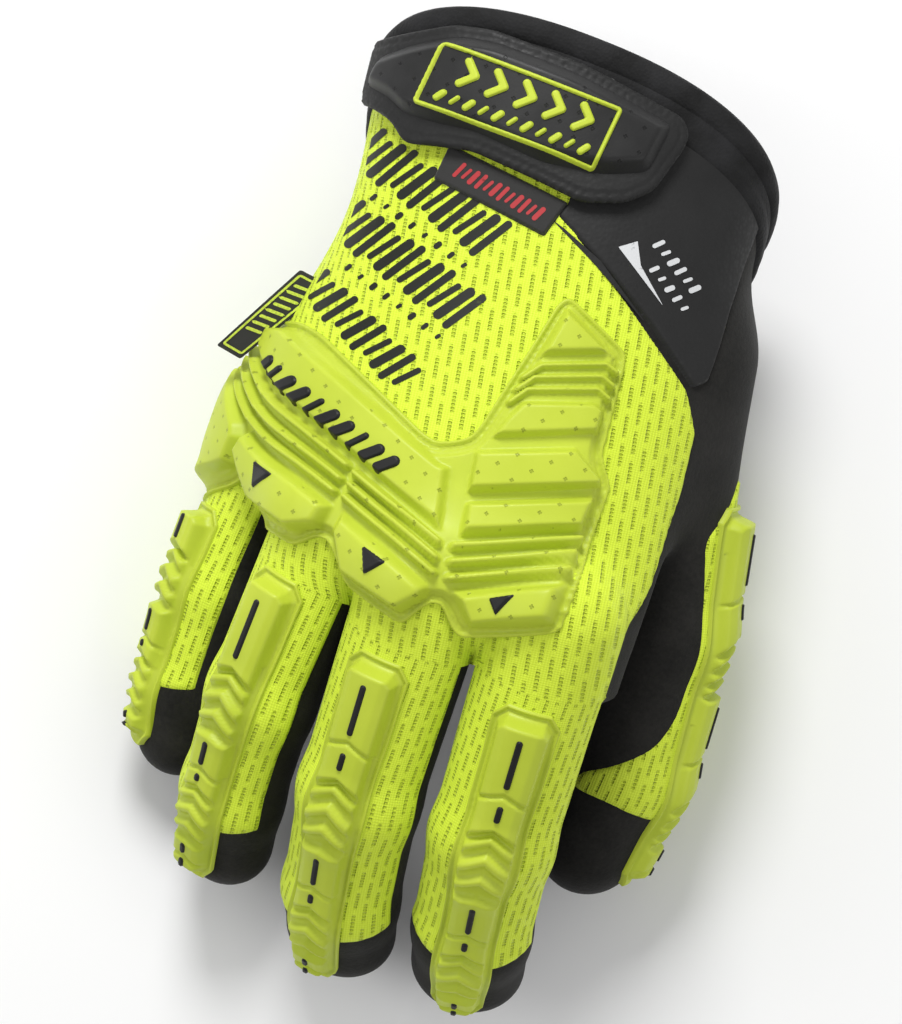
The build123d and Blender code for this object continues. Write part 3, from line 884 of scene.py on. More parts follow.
def moulded_material(name, light, dark, roughness=0.42, dimples=None):
    """Moulded rubber: matte skin, fine mould grain and blotches. dimples is the height, in
    millimetres, from which small pressed crosses cover it, darkened inside with painted shade."""
    n = Nodes(name, Specular_IOR_Level=0.3)
    xyz = n.chart()
    blotch = n.noise(45.0, 4.0)
    color = n.mix(n.range(blotch, 0.3, 0.7), dark, light)
    grain = n.noise(2600.0, 2.0)
    normal = n.bump(grain, 0.25, 0.00008)
    if dimples is not None:
        marks = []
        for offset in (0.0, 0.5):
            x = n.math("FRACT", n.math("ADD", n.math("DIVIDE", xyz.outputs[0], 7.2), offset))
            y = n.math("FRACT", n.math("ADD", n.math("DIVIDE", xyz.outputs[1], 5.6), offset))
            x = n.math("ABSOLUTE", n.math("SUBTRACT", x, 0.5))
            y = n.math("ABSOLUTE", n.math("SUBTRACT", y, 0.5))
            tall = n.math("MULTIPLY", n.range(x, 0.026, 0.014), n.range(y, 0.085, 0.070))
            flat = n.math("MULTIPLY", n.range(y, 0.033, 0.018), n.range(x, 0.065, 0.054))
            marks.append(n.math("MAXIMUM", tall, flat))
        on_top = n.range(xyz.outputs[2], dimples - 0.4, dimples)
        mark = n.math("MULTIPLY", n.math("MAXIMUM", marks[0], marks[1]), on_top)
        normal = n.bump(n.math("MULTIPLY", mark, -1.0), 0.8, 0.0003, normal)
        # Painted shade: the pressed crosses are darkened where they sink in.
        color = n.mix(n.math("MULTIPLY", mark, 0.7), color, tuple(0.6 * part for part in dark))
    return n.finish(color, n.range(n.noise(180.0, 3.0), 0.2, 0.8, roughness - 0.06, roughness + 0.1), normal)


def suede_material(name="black_suede", light=(0.022, 0.021, 0.019, 1), dark=(0.007, 0.007, 0.006, 1)):
    """Synthetic suede: short matted nap with lighter brushed patches."""
    n = Nodes(name, Specular_IOR_Level=0.15, Sheen_Weight=0.08, Sheen_Roughness=0.5)
    nap = n.noise(900.0, 6.0, 0.7)
    patches = n.noise(70.0, 5.0, 0.6)
    color = n.mix(n.range(n.math("ADD", nap, patches), 0.75, 1.25), dark, light)
    return n.finish(color, n.range(nap, 0.3, 0.7, 0.75, 0.95), n.bump(nap, 0.55, 0.0003))


def stretch_material(name="black_stretch"):
    """Binding and band fabric: a fine even knit with a soft sheen."""
    n = Nodes(name, Specular_IOR_Level=0.2, Sheen_Weight=0.06, Sheen_Roughness=0.35)
    where = n.node("TexCoord").outputs["Object"]
    weave = n.node("TexVoronoi", {"Vector": where, "Scale": 1500.0}).outputs["Distance"]
    soft = n.noise(120.0, 3.0)
    color = n.mix(n.range(soft, 0.3, 0.7), (0.008, 0.008, 0.008, 1), (0.02, 0.02, 0.021, 1))
    return n.finish(color, 0.72, n.bump(weave, 0.5, 0.0002, n.bump(soft, 0.3, 0.0008)))


def smooth_material(name="black_smooth"):
    """Coated panel: flat, with a faint leather print and slight gloss."""
    n = Nodes(name, Specular_IOR_Level=0.3)
    where = n.node("TexCoord").outputs["Object"]
    cells = n.node("TexVoronoi", {"Vector": where, "Scale": 900.0}).outputs["Distance"]
    color = n.mix(n.noise(90.0), (0.009, 0.009, 0.009, 1), (0.018, 0.018, 0.018, 1))
    return n.finish(color, n.range(cells, 0.0, 0.6, 0.42, 0.6), n.bump(cells, 0.3, 0.00015))


def liner_material():
    """Cut resistant liner: grey fibre knit in vertical ribs."""
    n = Nodes("liner_knit", Specular_IOR_Level=0.2, Sheen_Weight=0.3)
    where = n.node("TexCoord").outputs["Object"]
    ribs = n.node("TexWave", {"Vector": where, "Scale": 260.0, "Distortion": 1.5, "Detail": 2.0})
    color = n.mix(ribs.outputs["Fac"], (0.10, 0.10, 0.105, 1), (0.30, 0.31, 0.32, 1))
    return n.finish(color, 0.85, n.bump(ribs.outputs["Fac"], 0.6, 0.0004))


def loop_material():
    """Hook and loop tape: a dense fuzz."""
    n = Nodes("hook_loop", Sheen_Weight=0.5)
    fuzz = n.noise(1400.0, 5.0, 0.8)
    color = n.mix(n.range(fuzz, 0.35, 0.65), (0.004, 0.004, 0.004, 1), (0.045, 0.045, 0.047, 1))
    return n.finish(color, 0.95, n.bump(fuzz, 0.9, 0.0007))


def label_material():
    """Woven label: tight satin threads."""
    n = Nodes("woven_label", Specular_IOR_Level=0.35, Sheen_Weight=0.2)
    xyz = n.chart()
    warp = n.waves(xyz.outputs[0], WARP_PITCH)
    weft = n.waves(xyz.outputs[1], WEFT_PITCH)
    weave = n.math("MULTIPLY", warp, weft)
    color = n.mix(n.range(weave, -1, 1), (0.008, 0.008, 0.008, 1), (0.03, 0.029, 0.027, 1))
    return n.finish(color, 0.6, n.bump(weave, 0.4, 0.0001))


def thread_material(name, light, dark):
    """Twisted sewing thread."""
    n = Nodes(name, Specular_IOR_Level=0.4, Sheen_Weight=0.2)
    twist = n.noise(2200.0, 2.0)
    return n.finish(n.mix(n.range(twist, 0.35, 0.65), dark, light), 0.55, n.bump(twist, 0.5, 0.0002))


def print_material(name, light, dark, worn=0.36):
    """Thin printed film, a little broken by the fabric under it."""
    n = Nodes(name, Specular_IOR_Level=0.35)
    broken = n.noise(420.0, 4.0, 0.6)
    return n.finish(n.mix(n.range(broken, worn - 0.08, worn), dark, light), 0.5, n.bump(broken, 0.2, 0.0001))


KNIT = knit_material()
HIVIZ = (0.54, 0.64, 0.052, 1), (0.47, 0.57, 0.040, 1)
RUBBER = moulded_material("hiviz_rubber", *HIVIZ)
DIMPLED = moulded_material("hiviz_rubber_dimpled", *HIVIZ, dimples=4.0)
BLACK_RUBBER = moulded_material("black_rubber", (0.014, 0.014, 0.014, 1), (0.007, 0.007, 0.007, 1), 0.45)
BLACK_DIMPLED = moulded_material(
    "black_rubber_dimpled", (0.024, 0.024, 0.024, 1), (0.009, 0.009, 0.009, 1), dimples=7.0
)
SUEDE = suede_material()
PAD_SUEDE = suede_material("pad_suede", (0.030, 0.029, 0.027, 1), (0.010, 0.010, 0.009, 1))
STRETCH = stretch_material()
SMOOTH = smooth_material()
LINER = liner_material()
LOOP = loop_material()
LABEL = label_material()
HIVIZ_THREAD = thread_material("hiviz_thread", (0.62, 0.74, 0.08, 1), (0.42, 0.52, 0.04, 1))
BLACK_PRINT = print_material("black_print", (0.009, 0.01, 0.006, 1), (0.06, 0.08, 0.015, 1), 0.34)
SILVER_PRINT = print_material("silver_print", (0.62, 0.63, 0.64, 1), (0.25, 0.25, 0.26, 1))
RED_PRINT = print_material("red_print", (0.42, 0.03, 0.035, 1), (0.2, 0.015, 0.015, 1))


# ---------------------------------------------------------------- zones along the digits

THUMB_SPAN = 13.0
REACH = 11.0
# Past the end of any digit
FAR = 999.0


def reaches(digit, k):
    """How far before and after joint k a digit's fabric bends, in millimetres along it."""
    if digit.name == "thumb":
        return REACH, REACH
    base = digit.starts[1] - PIVOT_SET_IN
    return ((8.0, min(12.0, base * 0.48)), (min(REACH, base * 0.5), REACH), (REACH, REACH))[k]


def zones(digit):
    """Each zone's name, and its stretch along a digit: every zone holds one joint."""
    s = digit.starts
    last = (s[1] + s[2]) / 2
    if digit.name == "thumb":
        return [("base", s[1] - THUMB_SPAN, last), ("tip", last, FAR)]
    first = (PIVOT_SET_IN + reaches(digit, 0)[1] + s[1] - reaches(digit, 1)[0]) / 2
    return [("base", -2.0, first), ("middle", first, last), ("tip", last, FAR)]


def follow(piece, digit, zone):
    """Bakes a piece's placement into its mesh. The zone's joint line and reaches are worked out, but the piece is
    not bent across the joint.
    """
    is_thumb = digit.name == "thumb"
    k = [name for name, _, _ in zones(digit)].index(zone)
    bodies = ["hand"] + [f"{digit.name}_{name}" for name, _, _ in zones(digit)]
    number = k + 1 if is_thumb else k
    line = unit(digit.forwards[max(number - 1, 0)] + digit.forwards[number])
    before, after = reaches(digit, number)
    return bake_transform(piece)


# ---------------------------------------------------------------- the black glove under everything

CUFF = next(mount for mount in frame["record"]["mounts"] if mount["name"] == "rest_face")
CUFF_NORMAL = unit(np.array(CUFF["axis"]))
cuff_rim = np.array(CUFF["pos_m"]) / MM
CUFF_CENTRE = vec(8.0, 0.0, 28.0) + ORIGIN
CUFF_CENTRE[1] += ((cuff_rim - CUFF_CENTRE) @ CUFF_NORMAL) / CUFF_NORMAL[1]
CELL = 1.6
LINER_CELL = 2.6
LINER_INSET = 2.4


def zone_number(number, k):
    """The number of zone k of a digit: the four fingers are 0 to 3, and the thumb is 4."""
    return 10 * number + k + 1


def zone_of(p):
    """For each point, the number of the zone it belongs to: 0 is the hand."""
    names = list(FINGERS)
    distances = np.stack([FINGERS[name].distance(p) for name in names], -1)
    nearest = distances.argmin(-1)
    found = np.zeros(len(p), int)
    for number, name in enumerate(names):
        digit = FINGERS[name]
        for k, (_, first, _) in enumerate(zones(digit)):
            at, forward, _, _ = digit.frames([first])
            past = (p - at[0]) @ forward[0] > 0
            ours = (nearest == number) & past & ((k == 0) | (found > 0))
            found = np.where(ours, zone_number(number, k), found)
    near_thumb = THUMB.distance(p) < np.minimum(distances.min(-1), hand_distance(p))
    for k, (_, first, _) in enumerate(zones(THUMB)):
        at, forward, _, _ = THUMB.frames([first])
        past = (p - at[0]) @ forward[0] > 0
        found = np.where(near_thumb & past, zone_number(len(names), k), found)
    return found


def cut_at_cuff(piece, inset):
    """Cuts a piece off square, this far in from the cuff's edge."""
    mesh = bmesh.new()
    mesh.from_mesh(piece.data)
    geometry = mesh.verts[:] + mesh.edges[:] + mesh.faces[:]
    point = (CUFF_CENTRE - CUFF_NORMAL * inset) * MM
    bmesh.ops.bisect_plane(
        mesh, geom=geometry, plane_co=point, plane_no=CUFF_NORMAL, clear_outer=True, dist=1e-6
    )
    mesh.to_mesh(piece.data)
    mesh.free()
    return piece


def make_sleeve():
    """Palm, side walls and fingertips: one smooth skin, parted where no joint bends it."""
    low, high = (np.array(corner) / MM for corner in cad_box)
    verts, faces = surface_nets(whole, low - 6, high + 16, CELL)
    verts = settle(whole, verts, faces)
    normals = unit(gradient(whole, verts))
    owner = zone_of(verts[faces].mean(1))

    def part(name, number):
        chosen, used = compact(faces[owner == number], len(verts))
        return new_mesh(name, verts[used], chosen, SUEDE, normals[used], verts[used])

    fasten(cut_at_cuff(part("palm_and_sides", 0), 0.5), "palm_panel")
    for number, digit in enumerate([*FINGERS.values(), THUMB]):
        for k, (zone, _, _) in enumerate(zones(digit)):
            piece = part(f"{digit.name}_sleeve_{zone}", zone_number(number, k))
            follow(piece, digit, zone)
            nodes = [f"{digit.name}_{zone}_{word}" for word in ("palm", "tip_cap", "cap")]
            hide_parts(*[n for n in nodes if n in frame["nodes"]])


def make_liner():
    """The cut resistant liner, seen inside the cuff."""
    low, high = (np.array(corner) / MM for corner in cad_box)
    low = low + vec(0, 60, 0)

    def field(p):
        return np.maximum(whole(p) + LINER_INSET, -(p[..., 1] - low[1] - 4))

    verts, faces = surface_nets(field, low - 2, high + 16, LINER_CELL)
    verts = settle(field, verts, faces, 1)
    faces, used = compact(faces[zone_of(verts[faces].mean(1)) == 0], len(verts))
    piece = cut_at_cuff(new_mesh("cut_liner_inside", verts[used], faces[:, ::-1], LINER), 1.2)
    fasten(piece, "cut_liner")


make_sleeve()
make_liner()


# ---------------------------------------------------------------- hi-viz knit

KNIT_HEIGHT = 0.5
KNIT_EDGE = -0.5
EDGE_ROLL = 1.5
KNIT_OUTLINE = [
    (-64, 92), (24, 92), (14, 64), (44.5, 37), (50, 28), (51, 14), (48, -7), (44, -20), (42.4, -31),
    (42, -62), (-95, -62), (-84, -20), (-80, 10), (-70, 40),
]
KNIT_LITTLE_SIDE = 15.0
KNIT_STEP = 0.7
UNDER_BAND = 5.0
FINGER_KNIT_TURN = 84.0
FINGER_KNIT_SHORT = {"index": 25.0, "middle": 21.0, "ring": 19.0, "little": 20.0}


def rolled(distance):
    """A knit's height: flat, and rolled under along its edge."""
    return KNIT_EDGE + (KNIT_HEIGHT - KNIT_EDGE) * ramp(-distance, 0.0, EDGE_ROLL)


def past_roots(p):
    """How far points are past the nearest finger's root, where the finger's own knit takes over."""
    names = list(FINGERS)
    nearest = np.stack([FINGERS[name].distance(p) for name in names], -1).argmin(-1)
    past = np.stack([(p - FINGERS[n].points[0]) @ FINGERS[n].forwards[0] + 1.2 for n in names], -1)
    return np.take_along_axis(past, nearest[..., None], -1)[..., 0]


def make_back_knit():
    """The knit of the back, by length all the way down the little finger's side. It ends where the
    fingers' own knit starts, and under the cuff's band."""
    chart = BackChart(whole, KNIT_LITTLE_SIDE)
    angles, ys = np.arange(-118, 100, 0.9), np.arange(-48, 94, 0.9)

    def edge(x, y):
        return polygon(KNIT_OUTLINE, x, y)

    def limit(p):
        return np.maximum(past_roots(p), (p - CUFF_CENTRE) @ CUFF_NORMAL + UNDER_BAND)

    relief = Relief(chart, angles, ys, edge, limit=limit)
    piece = relief.build("back_knit", KNIT, rolled(edge(relief.x, relief.y)))
    relief.declare(piece)
    fasten(piece, "back_panel")


def make_finger_knit(digit):
    chart = DigitChart(digit)
    end = digit.total - FINGER_KNIT_SHORT[digit.name]
    half = math.radians(FINGER_KNIT_TURN) * chart.radius(np.array([0.0]))[0]
    across, along = np.arange(-half - 1, half + 1, KNIT_STEP), np.arange(-2.0, end + 3, KNIT_STEP)

    def edge(x, y):
        width = math.radians(FINGER_KNIT_TURN) * chart.radius(y)
        bow = 3.0 * (x / width) ** 2
        return np.maximum(np.abs(x) - width, y - end + bow)

    relief = Relief(chart, across, along, edge)
    height = rolled(edge(relief.x, relief.y))
    for zone, first, last in zones(digit):
        if first < end:
            piece = relief.build(f"{digit.name}_knit_{zone}", KNIT, height, rows=(first, last))
            relief.declare(piece, rows=(first, last))
            follow(piece, digit, zone)
            if f"{digit.name}_{zone}_knit" in frame["nodes"]:
                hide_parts(f"{digit.name}_{zone}_knit")


make_back_knit()
for digit in FINGERS.values():
    make_finger_knit(digit)


# ---------------------------------------------------------------- finger guards

# For each digit: start, how far short of the tip it stops, half widths, and offset across the back
GUARDS = {
    "index": (1.2, 8.5, (9.2, 7.4), 0.3),
    "middle": (0.3, 7.0, (9.0, 7.2), 0.0),
    "ring": (-2.0, 5.0, (8.6, 7.0), 3.0),
    "little": (6.0, 6.0, (8.0, 6.6), 2.0),
    "thumb": (31.0, 6.5, (9.8, 8.6), 4.0),
}
FLANGE = 1.4
PLINTH = 2.3
BLOCK = (5.4, 3.8)
RIB = (4.3, 3.4)
RIB_PITCH = 3.2
RIB_SLOPE = 0.42
BAR_HALF = 0.8
FINGER_STEP = 0.38
BAR_STEP = 0.22


def guard_plan(digit, start, stop):
    """A guard's blocks, rib rows and inlaid bars, as stretches along a digit."""
    late = 5.0 if digit.name == "thumb" else 0.0
    first, second = digit.starts[1] + late, digit.starts[2] + late
    ribs = [first - RIB_PITCH - 1.6, second - RIB_PITCH - 0.9]
    reach = 2 * RIB_PITCH + 2.9
    blocks = [
        (start + 1.8, ribs[0] - 1.5), (ribs[0] + reach, ribs[1] - 1.5), (ribs[1] + reach, stop - 2.2),
    ]
    bars, creases = [], []
    for number, (a, b) in enumerate(blocks):
        long = b - a
        split = 0.64 if number < 2 else 0.55
        if number == 0 and digit.name in ("ring", "little"):
            bars.append((a + 0.2 * long, a + 0.85 * long))
            continue
        bars.append((a + 0.14 * long, a + (split - 0.06) * long))
        bars.append((a + (split + 0.08) * long, a + 0.88 * long))
        creases.append(a + split * long)
    return blocks, ribs, bars, creases


def guard_height(digit, x, y, start, stop, widths):
    """A guard's outline distance and its height above the sleeve."""
    share = np.clip((y - start) / (stop - start), 0, 1)
    half = widths[0] + (widths[1] - widths[0]) * share
    middle, long = (start + stop) / 2, (stop - start) / 2
    wide = x * widths[0] / half
    edge = rounded_box(wide, y - middle, widths[0], long, 2.2)
    edge = np.maximum(edge, (np.abs(wide) + np.abs(y - middle) - widths[0] - long + 3.4) * 0.707)
    inner = edge + 2.5
    blocks, ribs, _, creases = guard_plan(digit, start, stop)
    height = (FLANGE + 1.0) * ramp(-edge, -0.1, 0.45) - 1.0
    height = stitched(height, edge + 1.6, y + np.abs(x), 0.6, 2.0, 0.3)
    height = on_top(height, inner, FLANGE - 0.4 + (PLINTH - FLANGE + 0.4) * chamfered(inner, 0.8))
    top = BLOCK[0] + (BLOCK[1] - BLOCK[0]) * share
    slant = RIB_SLOPE * np.abs(x)
    for a, b in blocks:
        ends = np.maximum(a - y + 0.5 * slant, y - slant - b)
        block = np.maximum(np.maximum(ends, np.abs(wide) - widths[0] + 2.6), inner + 0.2)
        facet = 1 - 0.34 * np.clip((np.abs(x) / half - 0.36) / 0.5, 0, 1)
        body = PLINTH - 0.5 + (top * facet - PLINTH + 0.5) * chamfered(block, 1.3)
        for crease in creases:
            body = body - 0.9 * ramp(0.9 - np.abs(y - crease - slant), 0.0, 0.9)
        height = on_top(height, block, body)
    for start_of_ribs in ribs:
        for k in range(3):
            along = y - start_of_ribs - k * RIB_PITCH - slant
            rib = np.maximum(np.abs(along) - 1.3, inner + 0.3)
            facet = 1 - 0.25 * np.clip((np.abs(x) / half - 0.4) / 0.5, 0, 1)
            tall = (RIB[0] + (RIB[1] - RIB[0]) * share) * facet * (1 - 0.08 * along)
            height = on_top(height, rib, PLINTH - 0.6 + (tall - PLINTH + 0.6) * chamfered(rib, 0.9))
    return edge, height


class Guard:
    """A moulded strip down a digit's back, in one piece for each of its zones."""

    def __init__(self, digit, start, stop, widths, shift=0.0):
        self.digit, self.ends, self.widths, self.shift = digit, (start, stop), widths, shift
        self.chart = DigitChart(digit)
        self.zones = zones(digit)
        self.zones[0] = (self.zones[0][0], min(self.zones[0][1], start - 2), self.zones[0][2])
        if digit.name == "thumb":
            self.zones = zones(digit)
            self.zones = [("hand", 0.0, self.zones[0][1])] + self.zones
        self.make_strip()
        self.make_bars()

    def height(self, x, y):
        return guard_height(self.digit, x - self.shift, y, *self.ends, self.widths)

    def place(self, piece, zone, node):
        if zone == "hand":
            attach(piece, "hand")
        else:
            follow(piece, self.digit, zone)
        if node in frame["nodes"]:
            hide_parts(node)

    def make_strip(self):
        reach = self.widths[0] + 1.0
        across = self.shift + np.arange(-reach, reach, FINGER_STEP)
        along = np.arange(self.ends[0] - 1, self.ends[1] + 1, FINGER_STEP)
        relief = Relief(self.chart, across, along, lambda x, y: self.height(x, y)[0])
        height = self.height(relief.x, relief.y)[1]
        for zone, first, last in self.zones:
            piece = relief.build(f"{self.digit.name}_guard_{zone}", RUBBER, height, rows=(first, last))
            name = "thumb_top_guard" if zone == "hand" else f"{self.digit.name}_{zone}_guard"
            self.place(piece, zone, name)

    def make_bars(self):
        """Black bars let into the blocks."""
        bars = guard_plan(self.digit, *self.ends)[2]
        for zone, first, last in self.zones:
            inside = [b for b in bars if first <= (b[0] + b[1]) / 2 < last]
            if not inside:
                continue

            def shape(x, y):
                found = 1e9 + 0 * x
                for a, b in inside:
                    ends = (0, a + BAR_HALF), (0, b - BAR_HALF)
                    found = np.minimum(found, bar(x - self.shift, y, *ends, BAR_HALF))
                return found

            low, high = inside[0][0] - 1, inside[-1][1] + 1
            across, along = self.shift + np.arange(-1.6, 1.6, BAR_STEP), np.arange(low, high, BAR_STEP)
            relief = Relief(self.chart, across, along, shape)
            x, y = relief.x, relief.y
            under = self.height(x * 0 + self.shift, y)[1]
            height = under - 0.3 + raised(shape(x, y), 0.75, 0.35)
            piece = relief.build(f"{self.digit.name}_bars_{zone}", BLACK_RUBBER, height)
            self.place(piece, zone, f"{self.digit.name}_{zone}_inlays")


for digit in [*FINGERS.values(), THUMB]:
    start, short, widths, shift = GUARDS[digit.name]
    Guard(digit, start, digit.total - short, widths, shift)


# ---------------------------------------------------------------- the thumb's knit

THUMB_KNIT = [
    (4, 24), (-2, 31), (-10, 38), (-7.5, 52), (-7, 66), (-8, 78), (-12, 85), (-18, 89), (-29, 95.5),
    (-30, 101), (-19, 100), (-10, 101), (12, 103), (26, 96), (24, 60), (22, 30),
]


def make_thumb_knit():
    across, along = np.arange(-33, 30, KNIT_STEP), np.arange(22, 106, KNIT_STEP)
    outline = outline_of(THUMB_KNIT, 3.0)
    relief = Relief(DigitChart(THUMB), across, along, outline)
    height = rolled(outline(relief.x, relief.y))
    parts = [("hand", 0.0, zones(THUMB)[0][1])] + zones(THUMB)
    for zone, first, last in parts:
        piece = relief.build(f"thumb_knit_{zone}", KNIT, height, rows=(first, last))
        relief.declare(piece, rows=(first, last))
        if zone == "hand":
            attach(piece, "hand")
        else:
            follow(piece, THUMB, zone)
        if zone == "base":
            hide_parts("thumb_base_knit")


make_thumb_knit()


# ---------------------------------------------------------------- knuckle guard

KNUCKLE_FLANGE = [
    (-92, -6), (-91, 12), (-77, 28), (-62, 33.5), (-44.5, 33.5), (-38.9, 31.8), (-10.6, 14.9),
    (-7.2, 13.8), (-1.1, 15.9), (0.7, 18.7), (8, 38.5), (11.8, 49.4), (14.5, 51.2), (29.2, 42.4),
    (30.3, 40), (29.7, 18.2), (33.2, 13), (33, 10.3), (28.6, -20.9), (25.8, -22.6), (7.7, -27.9),
    (5.3, -26.9), (1.8, -21.3), (-1, -22.5), (-5.8, -28.3), (-20.9, -22.6), (-25.7, -14.3),
    (-28, -13.3), (-33.4, -16.8), (-46, -12.6), (-55.5, -5), (-58.4, -7.2), (-80, -13.2),
]
TOP_BAND = [
    (-60, 31.3), (-47, 31.2), (-43, 29.6), (-11.7, 12.6), (-4.6, 9), (-2.6, 9), (-1.2, -6), (-45.3, 16.9),
    (-62, 27.2),
]
# Each block's outline, height and chamfer
KNUCKLE_BLOCKS = [
    ([(-70, 22), (-84, 13), (-88, 2), (-80.5, -9.5), (-57, -2.5), (-53.8, 4.5), (-55, 8.4)], 5.8, 2.6),
    ([(-52.2, 7.6), (-57, 1.3), (-46.6, -8.7), (-34.5, -13.4), (-27, -11), (-25.2, -5)], 5.8, 2.6),
    ([(-23.7, -5), (-25.5, -10.7), (-21.1, -19.9), (-6.8, -25.3), (-1.4, -20.4), (-0.8, -17)], 5.8, 2.6),
    ([(14, 48.4), (9.8, 34.9), (11.5, 36.2), (25.2, 39.7), (27.8, 39.4)], 4.6, 1.6),
    ([(9, 26.3), (24.7, 29.7), (27.4, 28.1), (27.2, 22.4), (3.6, 16), (5.9, 21.5)], 4.6, 1.6),
    ([(1.2, 13.6), (22.9, 19.1), (30.2, 13.4), (30.2, 11.1), (1.6, 3.4)], 5.6, 1.8),
    ([(1.8, 2.3), (29.8, 9.8), (28.3, 1.2), (2.1, -6)], 5.6, 1.8),
    (TOP_BAND, 4.8, 1.7),
    ([(2.6, -17), (27.2, -9.6), (26.3, -19.6), (8.6, -24.8)], 5.8, 2.4),
]
RIB_ROWS = [
    ((-47.6, 15.2), (-64, 25), (-49.8, 12.1), (-67.5, 22.4), (-52, 9.4), (-70, 19.8)),
    ((-46.6, 14.9), (-24.6, 3.9), (-49.2, 12), (-25.4, 0.7), (-51.2, 9.2), (-26.2, -2.2)),
    ((-22.4, 2.6), (-1.6, -7.9), (-22.9, -0.1), (-1.4, -11.2), (-23.5, -2.9), (-1.2, -14.4)),
    ((1.8, -7.9), (27.8, -0.6), (2, -11.3), (27.4, -4.1), (2.2, -14.7), (27, -7.6)),
]
WING_RIBS = [
    [(8.2, 30.9), (11.6, 34.4), (25.1, 37.8), (27.8, 36.6)],
    [(7.4, 28), (10.7, 31.5), (24.9, 35), (27.6, 33.6)],
    [(6.6, 25.1), (9.8, 28.6), (24.6, 32.1), (27.4, 30.6)],
]
KNUCKLE_RIB_HALF = 1.15
KNUCKLE_RIB = 5.0
WING_RIB_HALF = 0.95
WING_RIB = 3.8
KNUCKLE_RISE = 3.2
TRIANGLES = [
    [(-80.5, 10.5), (-80, 16.5), (-75, 14)],
    [(-43.6, 0.5), (-38.2, -2.1), (-42.2, -5.5)],
    [(-15.8, -12.2), (-10.2, -14.6), (-14, -18)],
    [(12, -16.9), (18.2, -15), (14.6, -20.1)],
]
# The raised mark on the top band is a plain row of slanted bars
BAND_MARK = ((-51, 22.6), (-14.0, 4.9))
BAND_MARK_COUNT = 10
BAND_MARK_HEIGHT = 6.0


knuckle_edge = outline_of(KNUCKLE_FLANGE, 2.4)


def knuckle_height(x, y):
    """The knuckle guard's height above the fabric."""
    edge = knuckle_edge(x, y)
    height = (FLANGE + 1.5) * ramp(-edge, -0.1, 0.5) - 1.5
    height = stitched(height, edge + 1.9, x + y, 0.7, 2.3, 0.45)
    height = on_top(height, edge + 3.1, FLANGE - 0.4 + 1.3 * chamfered(edge + 3.1, 0.9))
    floor = FLANGE
    for points, top, bevel in KNUCKLE_BLOCKS:
        block = outline_of(points, 0.9, 2)(x, y)
        height = on_top(height, block, floor + (top - floor) * chamfered(block, bevel))
    for row in RIB_ROWS:
        for a, b in zip(row[::2], row[1::2]):
            rib = bar(x, y, a, b, KNUCKLE_RIB_HALF)
            height = on_top(height, rib, floor + (KNUCKLE_RIB - floor) * chamfered(rib, 0.75))
    for points in WING_RIBS:
        for a, b in zip(points, points[1:]):
            rib = bar(x, y, a, b, WING_RIB_HALF)
            height = on_top(height, rib, floor + (WING_RIB - floor) * chamfered(rib, 0.7))
    return height


def mark_shape(x, y):
    """Distance to the mark: a row of thick slanted bars, thin and wide in turn."""
    (x0, y0), (x1, y1) = BAND_MARK
    long = math.hypot(x1 - x0, y1 - y0)
    ux, uy = (x1 - x0) / long, (y1 - y0) / long
    along, across = (x - x0) * ux + (y - y0) * uy, -(x - x0) * uy + (y - y0) * ux
    found = 1e9 + 0 * x
    for k in range(BAND_MARK_COUNT):
        at, half = (k + 0.5) * long / BAND_MARK_COUNT, 0.85 if k % 3 == 1 else 1.35
        tall = BAND_MARK_HEIGHT / 2 - half
        found = np.minimum(found, bar(along, across, (at - 1.0, -tall), (at + 1.0, tall), half))
    return found


def inlay_shape(x, y):
    """Distance to all the black inlays of the knuckle guard."""
    found = mark_shape(x, y)
    for points in TRIANGLES:
        found = np.minimum(found, outline_of(points, 0.5, 2)(x, y))
    return found


def make_knuckle_guard():
    taut = TautChart(whole, np.arange(-122, 66, 0.6), np.arange(-34, 57, 0.5), 18)
    angles, ys = np.arange(-118, 62, 0.45), np.arange(-31, 54, 0.38)
    relief = Relief(taut, angles, ys, knuckle_edge, KNUCKLE_RISE)
    piece = relief.build("knuckle_guard_moulding", DIMPLED, knuckle_height(relief.x, relief.y))
    fasten(piece, "knuckle_guard")
    angles, ys = np.arange(-112, 40, 0.33), np.arange(-22, 28, 0.28)
    relief = Relief(taut, angles, ys, inlay_shape, KNUCKLE_RISE)
    x, y = relief.x, relief.y
    height = knuckle_height(x, y) - 0.2 + raised(inlay_shape(x, y), 0.85, 0.4)
    fasten(relief.build("knuckle_guard_inlays", BLACK_RUBBER, height), "knuckle_inlays")


make_knuckle_guard()


# ---------------------------------------------------------------- cuff: band and binding

BAND_IN = 11.0
BAND_HEIGHT = 1.5
RING_STEP = 1.2
# About how many millimetres of the cuff one degree round it is
MM_PER_DEGREE = 0.9

ring_chart = RingChart(whole, CUFF_CENTRE, CUFF_NORMAL)


def make_ring(name, material, profile, node):
    """A closed ring round the cuff. The profile is a list of (distance in from the edge, height)."""
    profile = np.array(profile, float)
    angles = np.arange(0, 360, RING_STEP)
    a, b = np.meshgrid(angles, profile[:, 0])
    p, n = ring_chart.points(a, b)
    n = unit(n - CUFF_NORMAL * (n @ CUFF_NORMAL)[..., None])
    verts = (p + n * profile[:, 1][:, None, None]).reshape(-1, 3)
    rows, columns = a.shape
    i, j = np.meshgrid(np.arange(rows - 1), np.arange(columns), indexing="ij")
    after = (j + 1) % columns
    here, there = i * columns, (i + 1) * columns
    faces = np.stack([here + j, here + after, there + after, there + j], -1).reshape(-1, 4)
    faces = facing(verts, n.reshape(-1, 3), faces)
    chart = np.stack([a * MM_PER_DEGREE, b, profile[:, 1][:, None] + 0 * a], -1).reshape(-1, 3)
    fasten(new_mesh(name, verts, faces, material, chart=chart), node)


